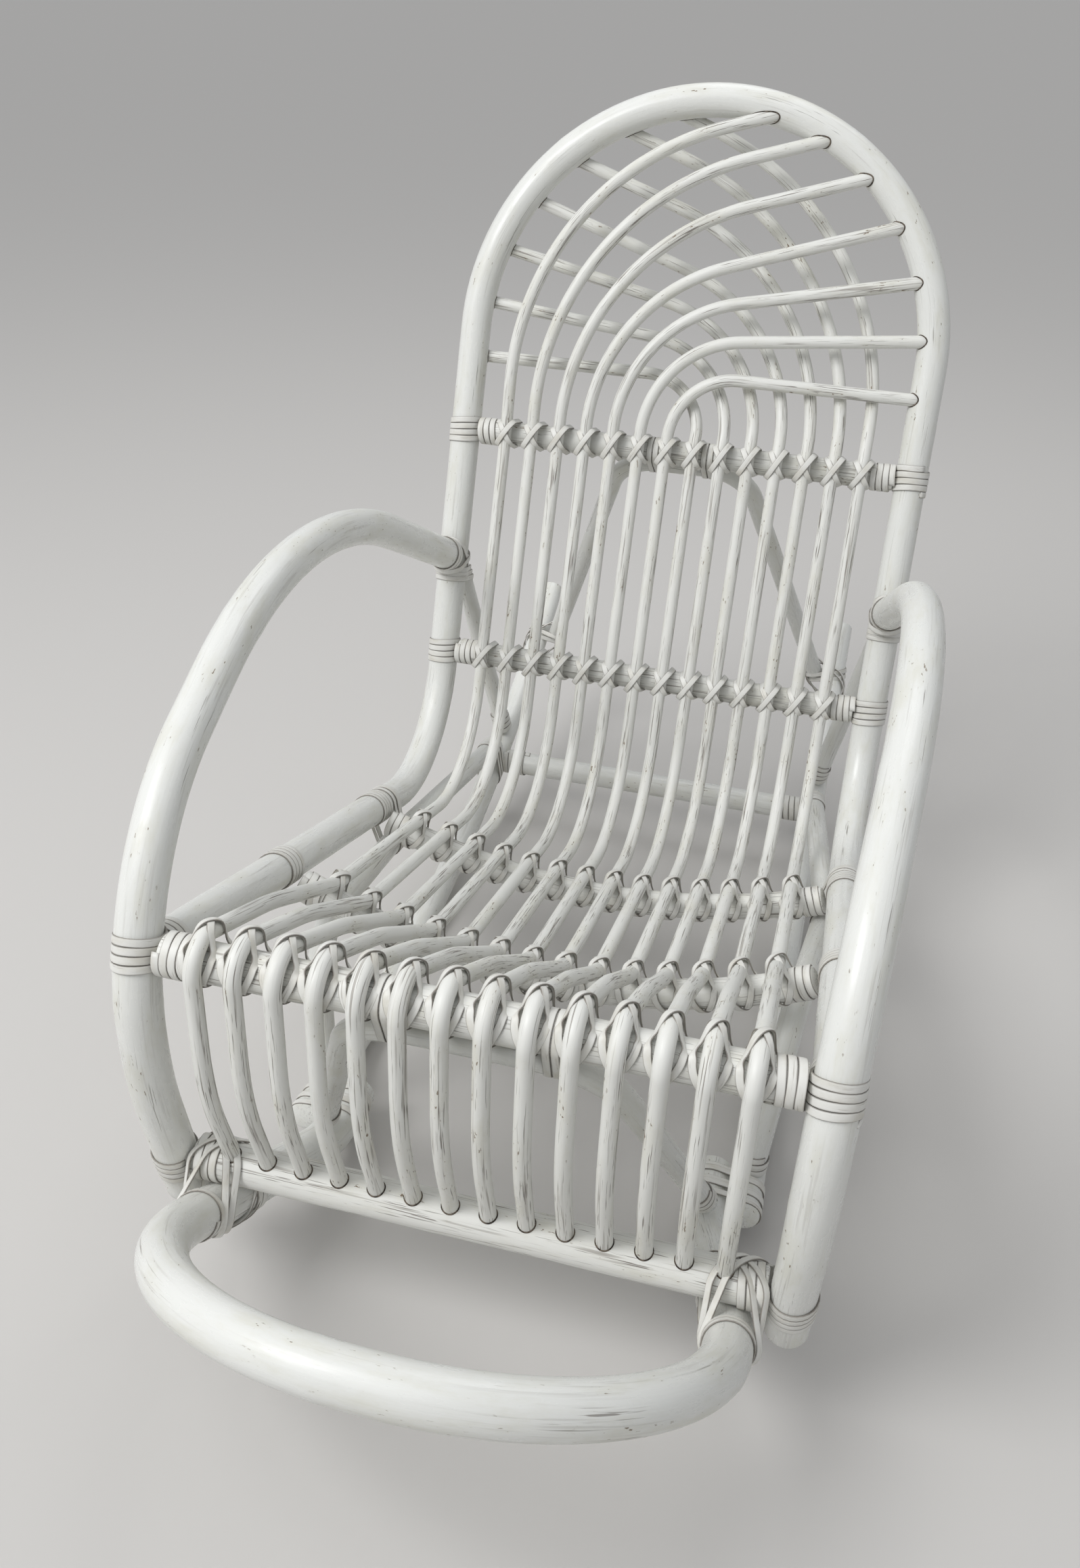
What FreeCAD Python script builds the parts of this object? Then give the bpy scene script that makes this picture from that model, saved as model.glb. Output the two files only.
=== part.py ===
# Bent-cane rocking chair, painted white and lashed with cane strip.
# Frame: +Z up from the floor, +X to the right of someone facing the chair, the chair faces -Y.
# Lengths are in millimetres. Side-view places (y, z) are measured from the floor under the front bottom rail,
# and the whole chair is then set back by frame_shift so that the origin is under the middle of its length.

import FreeCAD, Part
import math
import os

Vec = FreeCAD.Vector
doc = FreeCAD.newDocument("cane_rocking_chair")
sheet = doc.addObject("Spreadsheet::Sheet", "Sizes")

SIZES = [
    ("spindle_dia", 13.5),
    ("spindle_pitch", 31.0),
    ("hoop_dia", 34.0),
    ("arm_dia", 36.0),
    ("loop_dia", 38.0),
    ("runner_dia", 28.0),
    ("bottom_rail_dia", 34.0),
    ("front_rail_dia", 32.0),
    ("seat_rail_dia", 27.0),
    ("back_rail_dia", 27.0),
    ("bar_dia", 28.0),
    ("arch_dia", 21.0),
    ("brace_dia", 21.0),
    ("bracket_dia", 24.0),
    ("clearance", 0.3),
    ("strip_thick", 1.4),
    ("strip_width", 4.6),
    ("frame_shift", 427.1),
    ("side_room", 53.5),
    ("post_band", 30.0),
    ("end_band", 10.0),
    ("bottom_rail_y", 5.0),
    ("bottom_rail_z", 132.0),
    ("hole_depth", 14.0),
    ("front_rail_y", -5.0),
    ("front_rail_z", 352.0),
    ("front_bow_y", -28.5),
    ("front_bow_z", 240.0),
    ("front_bow_radius", 170.0),
    ("middle_rail_y", 235.0),
    ("middle_rail_z", 250.0),
    ("middle_rail_sag", 58.0),
    ("rear_rail_y", 468.0),
    ("rear_rail_z", 171.0),
    ("rear_rail_sag", 46.0),
    ("seat_angle", 18.5),
    ("seat_front_z", 345.0),
    ("seat_bend_radius", 136.0),
    ("spindle_bend_radius", 125.0),
    ("seat_ease_radius", 50.0),
    ("back_y", 717.0),
    ("back_z", 258.0),
    ("back_angle", 71.8),
    ("lower_rail_rise", 6.0),
    ("upper_rail_rise", 266.0),
    ("arch_rise", 380.0),
    ("fan_set", 8.5),
    ("fan_leave_room", 4.0),
    ("fan_leave_radius", 60.0),
    ("fan_front_lean", 4.6),
    ("fan_back_lean", 18.0),
    ("fan_first_angle", -7.0),
    ("fan_last_angle", 77.0),
    ("fan_tip_angle", 18.0),
    ("fan_bend_radius", 296.0),
    ("arm_joint_rise", 120.0),
    ("arm_bow", 26.0),
    ("arm_top_y", 377.0),
    ("arm_top_z", 568.0),
    ("arm_front_y", -19.0),
    ("arm_front_z", 425.0),
    ("arm_knee_y", -19.0),
    ("arm_knee_z", 232.0),
    ("arm_foot_y", 14.0),
    ("arm_foot_z", 83.0),
    ("arm_top_radius", 500.0),
    ("arm_front_radius", 200.0),
    ("arm_knee_radius", 400.0),
    ("loop_front_y", -224.0),
    ("loop_front_z", 244.0),
    ("loop_inset", 42.0),
    ("loop_tuck_angle", 54.3),
    ("loop_tuck_room", 1.7),
    ("loop_tuck_radius", 90.0),
    ("loop_knee_y", 130.0),
    ("loop_knee_z", 42.0),
    ("loop_knee_radius", 120.0),
    ("loop_corner_radius", 205.0),
    ("loop_end_y", 200.0),
    ("loop_end_z", 37.0),
    ("rocker_radius", 1300.0),
    ("rocker_low_y", 422.9),
    ("runner_inset", 46.0),
    ("runner_front_y", 150.0),
    ("runner_tail_y", 1090.0),
    ("bar_y", 800.0),
    ("brace_set_back", 34.0),
    ("brace_drop", 12.0),
    ("brace_foot_room", 2.8),
    ("rear_arch_top_half", 72.0),
    ("rear_arch_radius", 60.0),
    ("rear_arch_foot_y", 1012.0),
    ("rear_arch_foot_lift", 4.0),
    ("rear_arch_drop", 12.0),
    ("front_arch_top_half", 95.0),
    ("front_arch_radius", 70.0),
    ("front_arch_foot_y", 128.0),
    ("front_arch_foot_room", 2.0),
    ("front_arch_set", 6.0),
    ("bracket_foot_y", 205.0),
    ("bracket_knee_z", 203.0),
    ("bracket_heel_y", 500.0),
    ("bracket_heel_z", 130.0),
    ("bracket_radius", 60.0),
    ("bracket_heel_radius", 150.0),
    ("bracket_heel_inset", 14.0),
    ("bracket_spread", 12.0),
    ("bracket_knee_reach", 22.0),
    ("bracket_end_set", 8.0),
    ("bracket_end_room", 2.5),
]
SPINDLES = 14

for row, (word, value) in enumerate(SIZES, 1):
    sheet.set("A%d" % row, word)
    sheet.set("B%d" % row, str(value))
    sheet.setAlias("B%d" % row, word)
doc.recompute()


def size(word):
    return float(getattr(sheet, word))


gap = size("clearance")
strip = size("strip_thick")
half = size("spindle_pitch") * (SPINDLES - 1) / 2 + size("side_room")
shift = size("frame_shift")
runner_x = half - size("runner_inset")
loop_half = half - size("loop_inset")
spindle_r = size("spindle_dia") / 2
hoop_r = size("hoop_dia") / 2
arm_r = size("arm_dia") / 2
loop_r = size("loop_dia") / 2
runner_r = size("runner_dia") / 2
seat_rail_r = size("seat_rail_dia") / 2
back_rail_r = size("back_rail_dia") / 2
arch_r = size("arch_dia") / 2
brace_r = size("brace_dia") / 2
bracket_r = size("bracket_dia") / 2
band = strip + 2 * gap


def at(x, y, z):
    return Vec(x, y - shift, z)


def unit(vector):
    return Vec(vector).normalize()


# Routes: straight runs joined by tangent arcs

def route(points, radii):
    edges = []
    start = points[0]
    for index, radius in enumerate(radii, 1):
        corner = points[index]
        into = unit(corner - points[index - 1])
        out = unit(points[index + 1] - corner)
        turn = into.getAngle(out)
        reach = radius * math.tan(turn / 2)
        first = corner - into * reach
        last = corner + out * reach
        inward = unit(out - into)
        middle = corner + inward * (radius / math.cos(turn / 2) - radius)
        if (first - start).Length > 0.01:
            edges.append(Part.LineSegment(start, first).toShape())
        edges.append(Part.Arc(first, middle, last).toShape())
        start = last
    if (points[-1] - start).Length > 0.01:
        edges.append(Part.LineSegment(start, points[-1]).toShape())
    return Part.Wire(edges)


poles = []


def pole(label, wire, bore_word):
    line = doc.addObject("Part::Feature", label + "_line")
    line.Shape = wire
    first = wire.Edges[0]
    tangent = first.tangentAt(first.FirstParameter)
    begin = first.valueAt(first.FirstParameter)
    ring = doc.addObject("Part::Circle", label + "_section")
    ring.setExpression("Radius", "Sizes.%s / 2" % bore_word)
    ring.Placement = FreeCAD.Placement(begin, FreeCAD.Rotation(Vec(0, 0, 1), tangent))
    sweep = doc.addObject("Part::Sweep", label + "_sweep")
    sweep.Sections = [ring]
    sweep.Spine = (line, ["Edge%d" % (i + 1) for i in range(len(wire.Edges))])
    sweep.Solid = True
    sweep.Frenet = False
    sweep.Label = label
    poles.append(sweep)
    return sweep


def cylinder(label, bore_word, start, end):
    stick = doc.addObject("Part::Cylinder", label + "_stick")
    stick.setExpression("Radius", "Sizes.%s / 2" % bore_word)
    stick.Height = (end - start).Length
    stick.Placement = FreeCAD.Placement(start, FreeCAD.Rotation(Vec(0, 0, 1), end - start))
    stick.Label = label
    return stick


def sleeve(middle, along, inner, length):
    axis = unit(along)
    base = middle - axis * (length / 2)
    outer_wall = Part.makeCylinder(inner + strip, length, base, axis)
    return outer_wall.cut(Part.makeCylinder(inner, length, base, axis))


def group(label, solids):
    tie = doc.addObject("Part::Feature", label + "_tie")
    tie.Shape = Part.makeCompound(solids)
    tie.Label = label
    poles.append(tie)
    return tie


# The back: its lean, and the plane that the hoop and both back rails lie in
lean = math.radians(size("back_angle"))
back_up = Vec(0, math.cos(lean), math.sin(lean))
back_front = Vec(0, -math.sin(lean), math.cos(lean))
back_foot = at(0, size("back_y"), size("back_z"))


def back(x, rise, front=0.0):
    return back_foot + Vec(x, 0, 0) + back_up * rise + back_front * front


# The seat side: straight from the arm to the bend, on the same slope as the seat
slope = math.radians(size("seat_angle"))
seat_run = Vec(0, math.cos(slope), -math.sin(slope))
seat_top = Vec(0, math.sin(slope), math.cos(slope))

# Arm poles
arm_end = back(0, size("arm_joint_rise"), hoop_r + band + 0.12 * arm_r)
arm_places = [
    arm_end,
    at(0, size("arm_top_y"), size("arm_top_z")),
    at(0, size("arm_front_y"), size("arm_front_z")),
    at(0, size("arm_knee_y"), size("arm_knee_z")),
    at(0, size("arm_foot_y"), size("arm_foot_z")),
]
arm_bends = [size("arm_top_radius"), size("arm_front_radius"), size("arm_knee_radius")]
for side, word in ((-1, "left"), (1, "right")):
    places = [point + Vec(side * half, 0, 0) for point in arm_places]
    places[1] = places[1] + Vec(side * size("arm_bow"), 0, 0)
    pole("arm_" + word, route(places, arm_bends), "arm_dia")
arm_wire = route(arm_places, arm_bends)


def arm_at(height):
    cut = Part.makeLine(at(0, size("loop_front_y"), height), at(0, size("middle_rail_y"), height))
    near = arm_wire.distToShape(cut)[1][0][0]
    return near


# Back hoop: side rail, bend, upright, arch, and the same again
front_joint = arm_at(size("seat_front_z"))
seat_start = front_joint + seat_run * (arm_r + band)
fall = (back_foot - seat_start).dot(back_front)
corner_run = fall / seat_run.dot(back_front)
corner = seat_start + seat_run * corner_run
arch_radius = half
arch_top = back(0, size("arch_rise") + arch_radius)
side_wire = route(
    [seat_start + Vec(-half, 0, 0), corner + Vec(-half, 0, 0), back(-half, size("arch_rise"))],
    [size("seat_bend_radius")],
)
arch_edge = Part.Arc(back(-half, size("arch_rise")), arch_top, back(half, size("arch_rise"))).toShape()
other_wire = route(
    [back(half, size("arch_rise")), corner + Vec(half, 0, 0), seat_start + Vec(half, 0, 0)],
    [size("seat_bend_radius")],
)
hoop_wire = Part.Wire(side_wire.Edges + [arch_edge] + other_wire.Edges)
hoop_pole = pole("hoop_blank", hoop_wire, "hoop_dia")
poles.remove(hoop_pole)

# Cross rails
rail_end = half - hoop_r - band
front_end = half - arm_r - band
bottom_place = at(0, size("bottom_rail_y"), size("bottom_rail_z"))
front_place = at(0, size("front_rail_y"), size("front_rail_z"))
bottom_blank = cylinder(
    "bottom_rail_blank", "bottom_rail_dia", bottom_place - Vec(front_end, 0, 0), bottom_place + Vec(front_end, 0, 0)
)
poles.append(cylinder(
    "front_seat_rail", "front_rail_dia", front_place - Vec(front_end, 0, 0), front_place + Vec(front_end, 0, 0)
))
lower_rise = size("lower_rail_rise")
poles.append(cylinder("lower_back_rail", "back_rail_dia", back(-rail_end, lower_rise), back(rail_end, lower_rise)))
upper_rise = size("upper_rail_rise")
poles.append(cylinder("upper_back_rail", "back_rail_dia", back(-rail_end, upper_rise), back(rail_end, upper_rise)))


class SagRail:
    def __init__(self, label, word):
        self.y = size(word + "_y")
        self.z = size(word + "_z")
        sag = size(word + "_sag")
        self.bow = (rail_end * rail_end + sag * sag) / (2 * sag)
        self.low = self.z - sag
        wire = Part.Wire([Part.Arc(
            at(-rail_end, self.y, self.z), at(0, self.y, self.low), at(rail_end, self.y, self.z)
        ).toShape()])
        self.object = pole(label, wire, "seat_rail_dia")

    def spindle_place(self, x):
        # Height at which a spindle on the seat slope just clears the curved rail
        tilt = math.asin(x / self.bow)
        need = seat_rail_r + spindle_r + gap
        reach = math.hypot(math.cos(slope) * math.sin(tilt), math.cos(tilt))
        lift = need * reach / (math.cos(slope) * math.cos(tilt))
        z = self.low + self.bow - math.sqrt(self.bow * self.bow - x * x)
        return at(x, self.y, z + lift)

    def axis(self, x):
        tilt = math.asin(x / self.bow)
        return Vec(math.cos(tilt), 0, math.sin(tilt))

    def place(self, x):
        z = self.low + self.bow - math.sqrt(self.bow * self.bow - x * x)
        return at(x, self.y, z)


middle_rail = SagRail("middle_seat_rail", "middle_rail")
rear_rail = SagRail("rear_seat_rail", "rear_rail")

# Spindles
front_wrap = size("front_rail_dia") / 2 + spindle_r + gap
back_wrap = back_rail_r + spindle_r + gap


def tangent_side(point, centre, radius, turn):
    # Where a line from the point touches a circle round the centre, in the side view
    away = Vec(0, point.y - centre.y, point.z - centre.z)
    swing = math.acos(radius / away.Length) * turn
    direction = unit(away)
    spun = Vec(
        0,
        direction.y * math.cos(swing) - direction.z * math.sin(swing),
        direction.y * math.sin(swing) + direction.z * math.cos(swing),
    )
    return Vec(point.x, centre.y + spun.y * radius, centre.z + spun.z * radius)


def crossing(first, second, third, fourth):
    # Where two lines in the side view meet
    one = second - first
    two = fourth - third
    across = one.y * two.z - one.z * two.y
    share = ((third.y - first.y) * two.z - (third.z - first.z) * two.y) / across
    return first + one * share


hole_tools = []
hoop_tools = []
spindle_fronts = []
fan_angles = []
for index in range(SPINDLES):
    x = (index - (SPINDLES - 1) / 2) * size("spindle_pitch")
    foot = bottom_place + Vec(x, 0, 0)
    mid_place = middle_rail.spindle_place(x)
    rear_place = rear_rail.spindle_place(x)
    belly = at(x, size("front_bow_y"), size("front_bow_z"))
    low_touch = tangent_side(belly, front_place, front_wrap, -1)
    top_touch = tangent_side(mid_place, front_place, front_wrap, 1)
    over_front = crossing(belly, low_touch, mid_place, top_touch)
    under_back = crossing(mid_place, rear_place, back(x, lower_rise, back_wrap), back(x, upper_rise, back_wrap))
    rise_way = unit(belly - foot)
    begin = foot + rise_way * (size("bottom_rail_dia") / 2 - size("hole_depth") + gap)
    hole_start = begin - rise_way * gap
    hole_tools.append(Part.makeCylinder(spindle_r + gap, 2 * size("hole_depth"), hole_start, rise_way))

    # Fan: the left seven cross to the right in front, the right seven cross to the left behind
    ahead = index < SPINDLES / 2
    order = SPINDLES // 2 - 1 - index if ahead else index - SPINDLES // 2
    side = 1 if ahead else -1
    spread = size("fan_last_angle") - size("fan_first_angle")
    angle = math.radians(size("fan_first_angle") + spread * order / (SPINDLES / 2 - 1))
    tip = math.radians(size("fan_tip_angle") * min(1.0, order / 3))
    sink = arch_radius - 0.35 * hoop_r
    end_x = side * sink * math.cos(angle)
    end_rise = size("arch_rise") + sink * math.sin(angle)
    leave_rise = upper_rise + spindle_r + size("fan_leave_room")
    peak = end_rise - abs(end_x - x) * math.tan(tip)
    if ahead:
        peak_front = back_wrap + (peak - leave_rise) * math.tan(math.radians(size("fan_front_lean")))
    else:
        peak_front = back_wrap - (peak - leave_rise) * math.tan(math.radians(size("fan_back_lean")))
    fan_end = back(end_x, end_rise, side * size("fan_set"))
    leave = back(x, leave_rise, back_wrap)
    summit = back(x, peak, peak_front)
    leave_bend = size("fan_leave_radius")
    lean_turn = (summit - leave).getAngle(back_up)
    fan_turn = (summit - leave).getAngle(fan_end - summit)
    room = min((fan_end - summit).Length, (summit - leave).Length - leave_bend * math.tan(lean_turn / 2))
    points = [leave, summit, fan_end]
    bends = [leave_bend, min(size("fan_bend_radius"), 0.995 * room / math.tan(fan_turn / 2))]
    lower = [begin, belly, over_front, mid_place, under_back]
    radii = [size("front_bow_radius"), front_wrap, size("seat_ease_radius"), size("spindle_bend_radius")]
    wire = route(lower + points, radii + bends)
    pole("spindle_%02d" % (index + 1), wire, "spindle_dia")
    tail = [edge for edge in wire.Edges[-2:]]
    last = tail[-1]
    finish = last.valueAt(last.LastParameter)
    way = last.tangentAt(last.LastParameter)
    room_edge = Part.LineSegment(finish, finish + way * gap).toShape()
    first = tail[0]
    mouth = Part.Wire([Part.Circle(
        first.valueAt(first.FirstParameter), first.tangentAt(first.FirstParameter), spindle_r + gap
    ).toShape()])
    hoop_tools.append(Part.Wire(tail + [room_edge]).makePipeShell([mouth], True, False))
    spindle_fronts.append((x, over_front, mid_place, rear_place))

bottom_holes = doc.addObject("Part::Feature", "bottom_holes")
bottom_holes.Shape = Part.makeCompound(hole_tools)
bottom_rail = doc.addObject("Part::Cut", "bottom_rail_cut")
bottom_rail.Base = bottom_blank
bottom_rail.Tool = bottom_holes
bottom_rail.Label = "front_bottom_rail"
poles.append(bottom_rail)

hoop_holes = doc.addObject("Part::Feature", "hoop_holes")
hoop_holes.Shape = Part.makeCompound(hoop_tools)
hoop = doc.addObject("Part::Cut", "hoop_cut")
hoop.Base = hoop_pole
hoop.Tool = hoop_holes
hoop.Label = "back_hoop"
poles.append(hoop)

# Rocker runners: one long arc each, lowest under the chair's balance point
rocker = size("rocker_radius")


def runner_z(y, radius=None):
    bow = rocker if radius is None else radius
    away = y - size("rocker_low_y")
    return runner_r + rocker - math.sqrt(bow * bow - away * away)


for side, word in ((-1, "left"), (1, "right")):
    x = side * runner_x
    wire = Part.Wire([Part.Arc(
        at(x, size("runner_front_y"), runner_z(size("runner_front_y"))),
        at(x, size("rocker_low_y"), runner_r),
        at(x, size("runner_tail_y"), runner_z(size("runner_tail_y"))),
    ).toShape()])
    pole("runner_" + word, wire, "runner_dia")

# Front loop: turned up in front, passing under the bottom rail, with its legs inside the runners
tuck = size("bottom_rail_dia") / 2 + loop_r + size("loop_tuck_room")
tuck_angle = math.radians(size("loop_tuck_angle"))
loop_low_y = size("bottom_rail_y") - tuck * math.cos(tuck_angle)
loop_low_z = size("bottom_rail_z") - tuck * math.sin(tuck_angle)
leg_x = runner_x - runner_r - loop_r - gap
loop_places = []
for side in (-1, 1):
    leg = [
        at(side * leg_x, size("loop_end_y"), size("loop_end_z")),
        at(side * leg_x, size("loop_knee_y"), size("loop_knee_z")),
        at(side * loop_half, loop_low_y, loop_low_z),
        at(side * loop_half, size("loop_front_y"), size("loop_front_z")),
    ]
    loop_places.append(leg)
loop_points = loop_places[0] + loop_places[1][::-1]
corner_r = size("loop_corner_radius")
knee_r = size("loop_knee_radius")
tuck_r = size("loop_tuck_radius")
loop_bends = [knee_r, tuck_r, corner_r, corner_r, tuck_r, knee_r]
pole("front_loop", route(loop_points, loop_bends), "loop_dia")

# Rear cross bar between the runners
bar_z = runner_z(size("bar_y"))
bar_end = runner_x - runner_r - gap
poles.append(cylinder(
    "rear_cross_bar", "bar_dia", at(-bar_end, size("bar_y"), bar_z), at(bar_end, size("bar_y"), bar_z)
))

# Rear arch: an inverted U behind the upper back rail, its feet inside the runner tails
arch_head = back(0, upper_rise - size("rear_arch_drop"), -(back_rail_r + arch_r + 2 * band + gap))
arch_foot_x = runner_x - runner_r - arch_r - gap
arch_foot_z = runner_z(size("rear_arch_foot_y")) + size("rear_arch_foot_lift")
head_half = size("rear_arch_top_half")
arch_points = [
    at(-arch_foot_x, size("rear_arch_foot_y"), arch_foot_z),
    arch_head + Vec(-head_half, 0, 0),
    arch_head + Vec(head_half, 0, 0),
    at(arch_foot_x, size("rear_arch_foot_y"), arch_foot_z),
]
pole("rear_arch", route(arch_points, [size("rear_arch_radius")] * 2), "arch_dia")

# Front under-seat arch, its feet on the legs of the loop
under_front = front_place + Vec(0, size("front_arch_set"), -(size("front_rail_dia") / 2 + arch_r + 2 * band + gap))
foot_y = size("front_arch_foot_y")
front_half = size("front_arch_top_half")
front_foot_z = size("loop_knee_z") + loop_r + arch_r + size("front_arch_foot_room")
front_points = [
    at(-leg_x, foot_y, front_foot_z),
    under_front + Vec(-front_half, 0, 0),
    under_front + Vec(front_half, 0, 0),
    at(leg_x, foot_y, front_foot_z),
]
pole("front_arch", route(front_points, [size("front_arch_radius")] * 2), "arch_dia")

# Diagonal braces from the uprights down to the runners
brace_y = size("bar_y") + size("brace_set_back")
for side, word in ((-1, "left"), (1, "right")):
    top = back(side * half, size("arm_joint_rise") - size("brace_drop"), -(hoop_r + brace_r + band + gap))
    foot = at(side * runner_x, brace_y, runner_z(brace_y) + runner_r + gap + size("brace_foot_room"))
    poles.append(cylinder("diagonal_brace_" + word, "brace_dia", foot, top))

# Seat brackets: up from the runners, back under the seat corners and down to the runners behind
for side, word in ((-1, "left"), (1, "right")):
    x = side * runner_x
    foot_z = runner_z(size("bracket_foot_y")) + runner_r + 2 * gap
    heel_x = side * (half - size("bracket_heel_inset"))
    end_y = size("bar_y") - size("bracket_end_set")
    end_z = runner_z(end_y) + runner_r + bracket_r + size("bracket_end_room")
    points = [
        at(x, size("bracket_foot_y"), foot_z),
        at(
            side * (runner_x + size("bracket_spread")),
            size("bracket_foot_y") + size("bracket_knee_reach"),
            size("bracket_knee_z"),
        ),
        at(heel_x, size("bracket_heel_y"), size("bracket_heel_z")),
        at(x, end_y, end_z),
    ]
    pole("seat_bracket_" + word, route(points, [size("bracket_radius"), size("bracket_heel_radius")]), "bracket_dia")

# Lashings of cane strip

post_band = size("post_band")
end_band = size("end_band")


def tie_band(centre, front, run, rail_r, turn, out=0.0):
    # A strip round a rail and the spindle that crosses it, on the slant
    across = unit(run.cross(front))
    slant = unit(run + across * turn)
    side_room = size("strip_width") / 2 + gap + 0.4 + out
    wide = 1.42 * rail_r + side_room
    deep = rail_r + gap + 0.4 + out
    high = rail_r + 2 * spindle_r + 2 * gap + 1.0 + out
    nose = 1.42 * spindle_r + side_room

    def ring(grow):
        flat = [
            (-wide - grow, -0.45 * deep),
            (-0.5 * wide - 0.4 * grow, -deep - grow),
            (0.5 * wide + 0.4 * grow, -deep - grow),
            (wide + grow, -0.45 * deep),
            (wide + grow, 0.45 * deep),
            (nose + 0.5 * grow, high + grow),
            (-nose - 0.5 * grow, high + grow),
            (-wide - grow, 0.45 * deep),
        ]
        shape = [centre + slant * a + front * b for a, b in flat]
        return Part.Face(Part.makePolygon(shape + [shape[0]]))

    lay = unit(slant.cross(front)) * size("strip_width")
    face = ring(strip).cut(ring(0.0))
    face.translate(lay * -0.5)
    return face.extrude(lay)


seat_ties = {"front": [], "middle": [], "rear": []}
back_ties = {"lower": [], "upper": []}
for x, over_front, mid_place, rear_place in spindle_fronts:
    for name, rail in (("middle", middle_rail), ("rear", rear_rail)):
        run = rail.axis(x)
        normal = unit(run.cross(Vec(0, math.cos(slope), -math.sin(slope))))
        if normal.z < 0:
            normal = normal * -1
        over = mid_place if rail is middle_rail else rear_place
        lift = over - rail.place(x)
        share = run.dot(seat_run)
        along = (lift.dot(run) - share * lift.dot(seat_run)) / (1 - share * share)
        seat_ties[name].append(tie_band(rail.place(x) + run * along, normal, run, seat_rail_r, 1))
    skew = unit(Vec(0, -1, 1.2))
    seat_ties["front"].append(
        tie_band(front_place + Vec(x, 0, 0), skew, Vec(1, 0, 0), size("front_rail_dia") / 2, 1)
    )
    for name, rise in (("lower", lower_rise), ("upper", upper_rise)):
        for turn, out in ((1, 0.0), (-1, strip + gap)):
            back_ties[name].append(tie_band(back(x, rise), back_front, Vec(1, 0, 0), back_rail_r, turn, out))
for name, solids in seat_ties.items():
    group("lashings_%s_seat_rail" % name, solids)
for name, solids in back_ties.items():
    group("lashings_%s_back_rail" % name, solids)

ends = {"back_posts": [], "seat_posts": [], "rail_ends": [], "front_corners": [], "arm_joints": [], "rear_joints": []}
foot_way = unit(arm_places[4] - arm_places[3])
for side in (-1, 1):
    for rise in (lower_rise, upper_rise):
        ends["back_posts"].append(sleeve(back(side * half, rise), back_up, hoop_r + gap, post_band))
        ends["rail_ends"].append(
            sleeve(back(side * (rail_end - end_band / 2), rise), Vec(1, 0, 0), back_rail_r + gap, end_band)
        )
    for rail in (middle_rail, rear_rail):
        run = (at(0, rail.y, 0).y - seat_start.y) / seat_run.y
        post = seat_start + seat_run * run + Vec(side * half, 0, 0)
        ends["seat_posts"].append(sleeve(post, seat_run, hoop_r + gap, post_band))
        x = side * (rail_end - end_band / 2 + 0.6)
        ends["rail_ends"].append(sleeve(rail.place(x), rail.axis(x), seat_rail_r + gap, end_band))
    for place, word in ((front_place, "front_rail_dia"), (bottom_place, "bottom_rail_dia")):
        ends["rail_ends"].append(sleeve(
            place + Vec(side * (front_end - end_band / 2), 0, 0), Vec(1, 0, 0), size(word) / 2 + gap, end_band
        ))
    leg_y = (size("bottom_rail_z") - arm_places[4].z) / foot_way.z
    leg_place = arm_places[4] + foot_way * leg_y + Vec(side * half, 0, 0)
    ends["front_corners"].append(sleeve(leg_place, foot_way, arm_r + gap, post_band))
    joint = back(side * half, size("arm_joint_rise"))
    ends["arm_joints"].append(sleeve(joint, back_up, hoop_r + gap, post_band))
    bar_x = side * (bar_end - end_band)
    ends["rear_joints"].append(
        sleeve(at(bar_x, size("bar_y"), bar_z), Vec(1, 0, 0), size("bar_dia") / 2 + gap, 2 * end_band)
    )
for name, solids in ends.items():
    group("lashings_" + name, solids)

doc.recompute()

# Checks before anything is written
problems = []
for thing in doc.Objects:
    if "Invalid" in thing.State or "Error" in thing.State:
        problems.append("%s: %s" % (thing.Label, thing.State))
for piece in poles:
    shape = piece.Shape
    if shape.isNull() or not shape.isValid() or len(shape.Solids) == 0:
        problems.append("%s: bad shape" % piece.Label)
if problems:
    raise RuntimeError("; ".join(problems))

os.makedirs("parts", exist_ok=True)
volume = 0.0
moment = Vec(0, 0, 0)
for piece in poles:
    piece.Shape.exportStep("parts/%s.step" % piece.Label)
    for solid in piece.Shape.Solids:
        volume += solid.Volume
        moment = moment + solid.CenterOfMass * solid.Volume
box = Part.makeCompound([piece.Shape for piece in poles]).BoundBox
print("pieces", len(poles))
print("box", box)
print("balance point", moment * (1 / volume), "volume", volume)
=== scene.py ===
# White-painted bent-cane rocking chair: poles, fanned spindles and cane-strip lashings.
# Lengths are in millimetres, in the same frame as the solids. Meshes are made in metres.

import math
import random
import bpy
from mathutils import Matrix, Vector


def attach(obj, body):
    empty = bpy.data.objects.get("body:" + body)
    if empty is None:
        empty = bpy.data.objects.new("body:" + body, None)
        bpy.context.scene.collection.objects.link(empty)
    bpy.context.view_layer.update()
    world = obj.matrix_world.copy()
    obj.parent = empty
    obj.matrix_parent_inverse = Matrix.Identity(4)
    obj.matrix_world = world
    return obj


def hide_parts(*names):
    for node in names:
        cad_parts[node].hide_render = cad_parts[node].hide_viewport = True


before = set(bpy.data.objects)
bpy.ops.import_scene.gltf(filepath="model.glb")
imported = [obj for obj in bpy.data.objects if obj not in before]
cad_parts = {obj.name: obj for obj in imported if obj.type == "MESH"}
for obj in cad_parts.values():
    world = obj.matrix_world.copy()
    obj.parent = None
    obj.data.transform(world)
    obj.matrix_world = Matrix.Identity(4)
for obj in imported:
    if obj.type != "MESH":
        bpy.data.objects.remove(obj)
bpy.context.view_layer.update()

random.seed(5)
MM = 0.001
TURN = 2 * math.pi
PHASE = 6.28
X = Vector((1, 0, 0))
Y = Vector((0, 1, 0))
Z = Vector((0, 0, 1))
SIDES = ((-1, "left"), (1, "right"))

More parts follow.
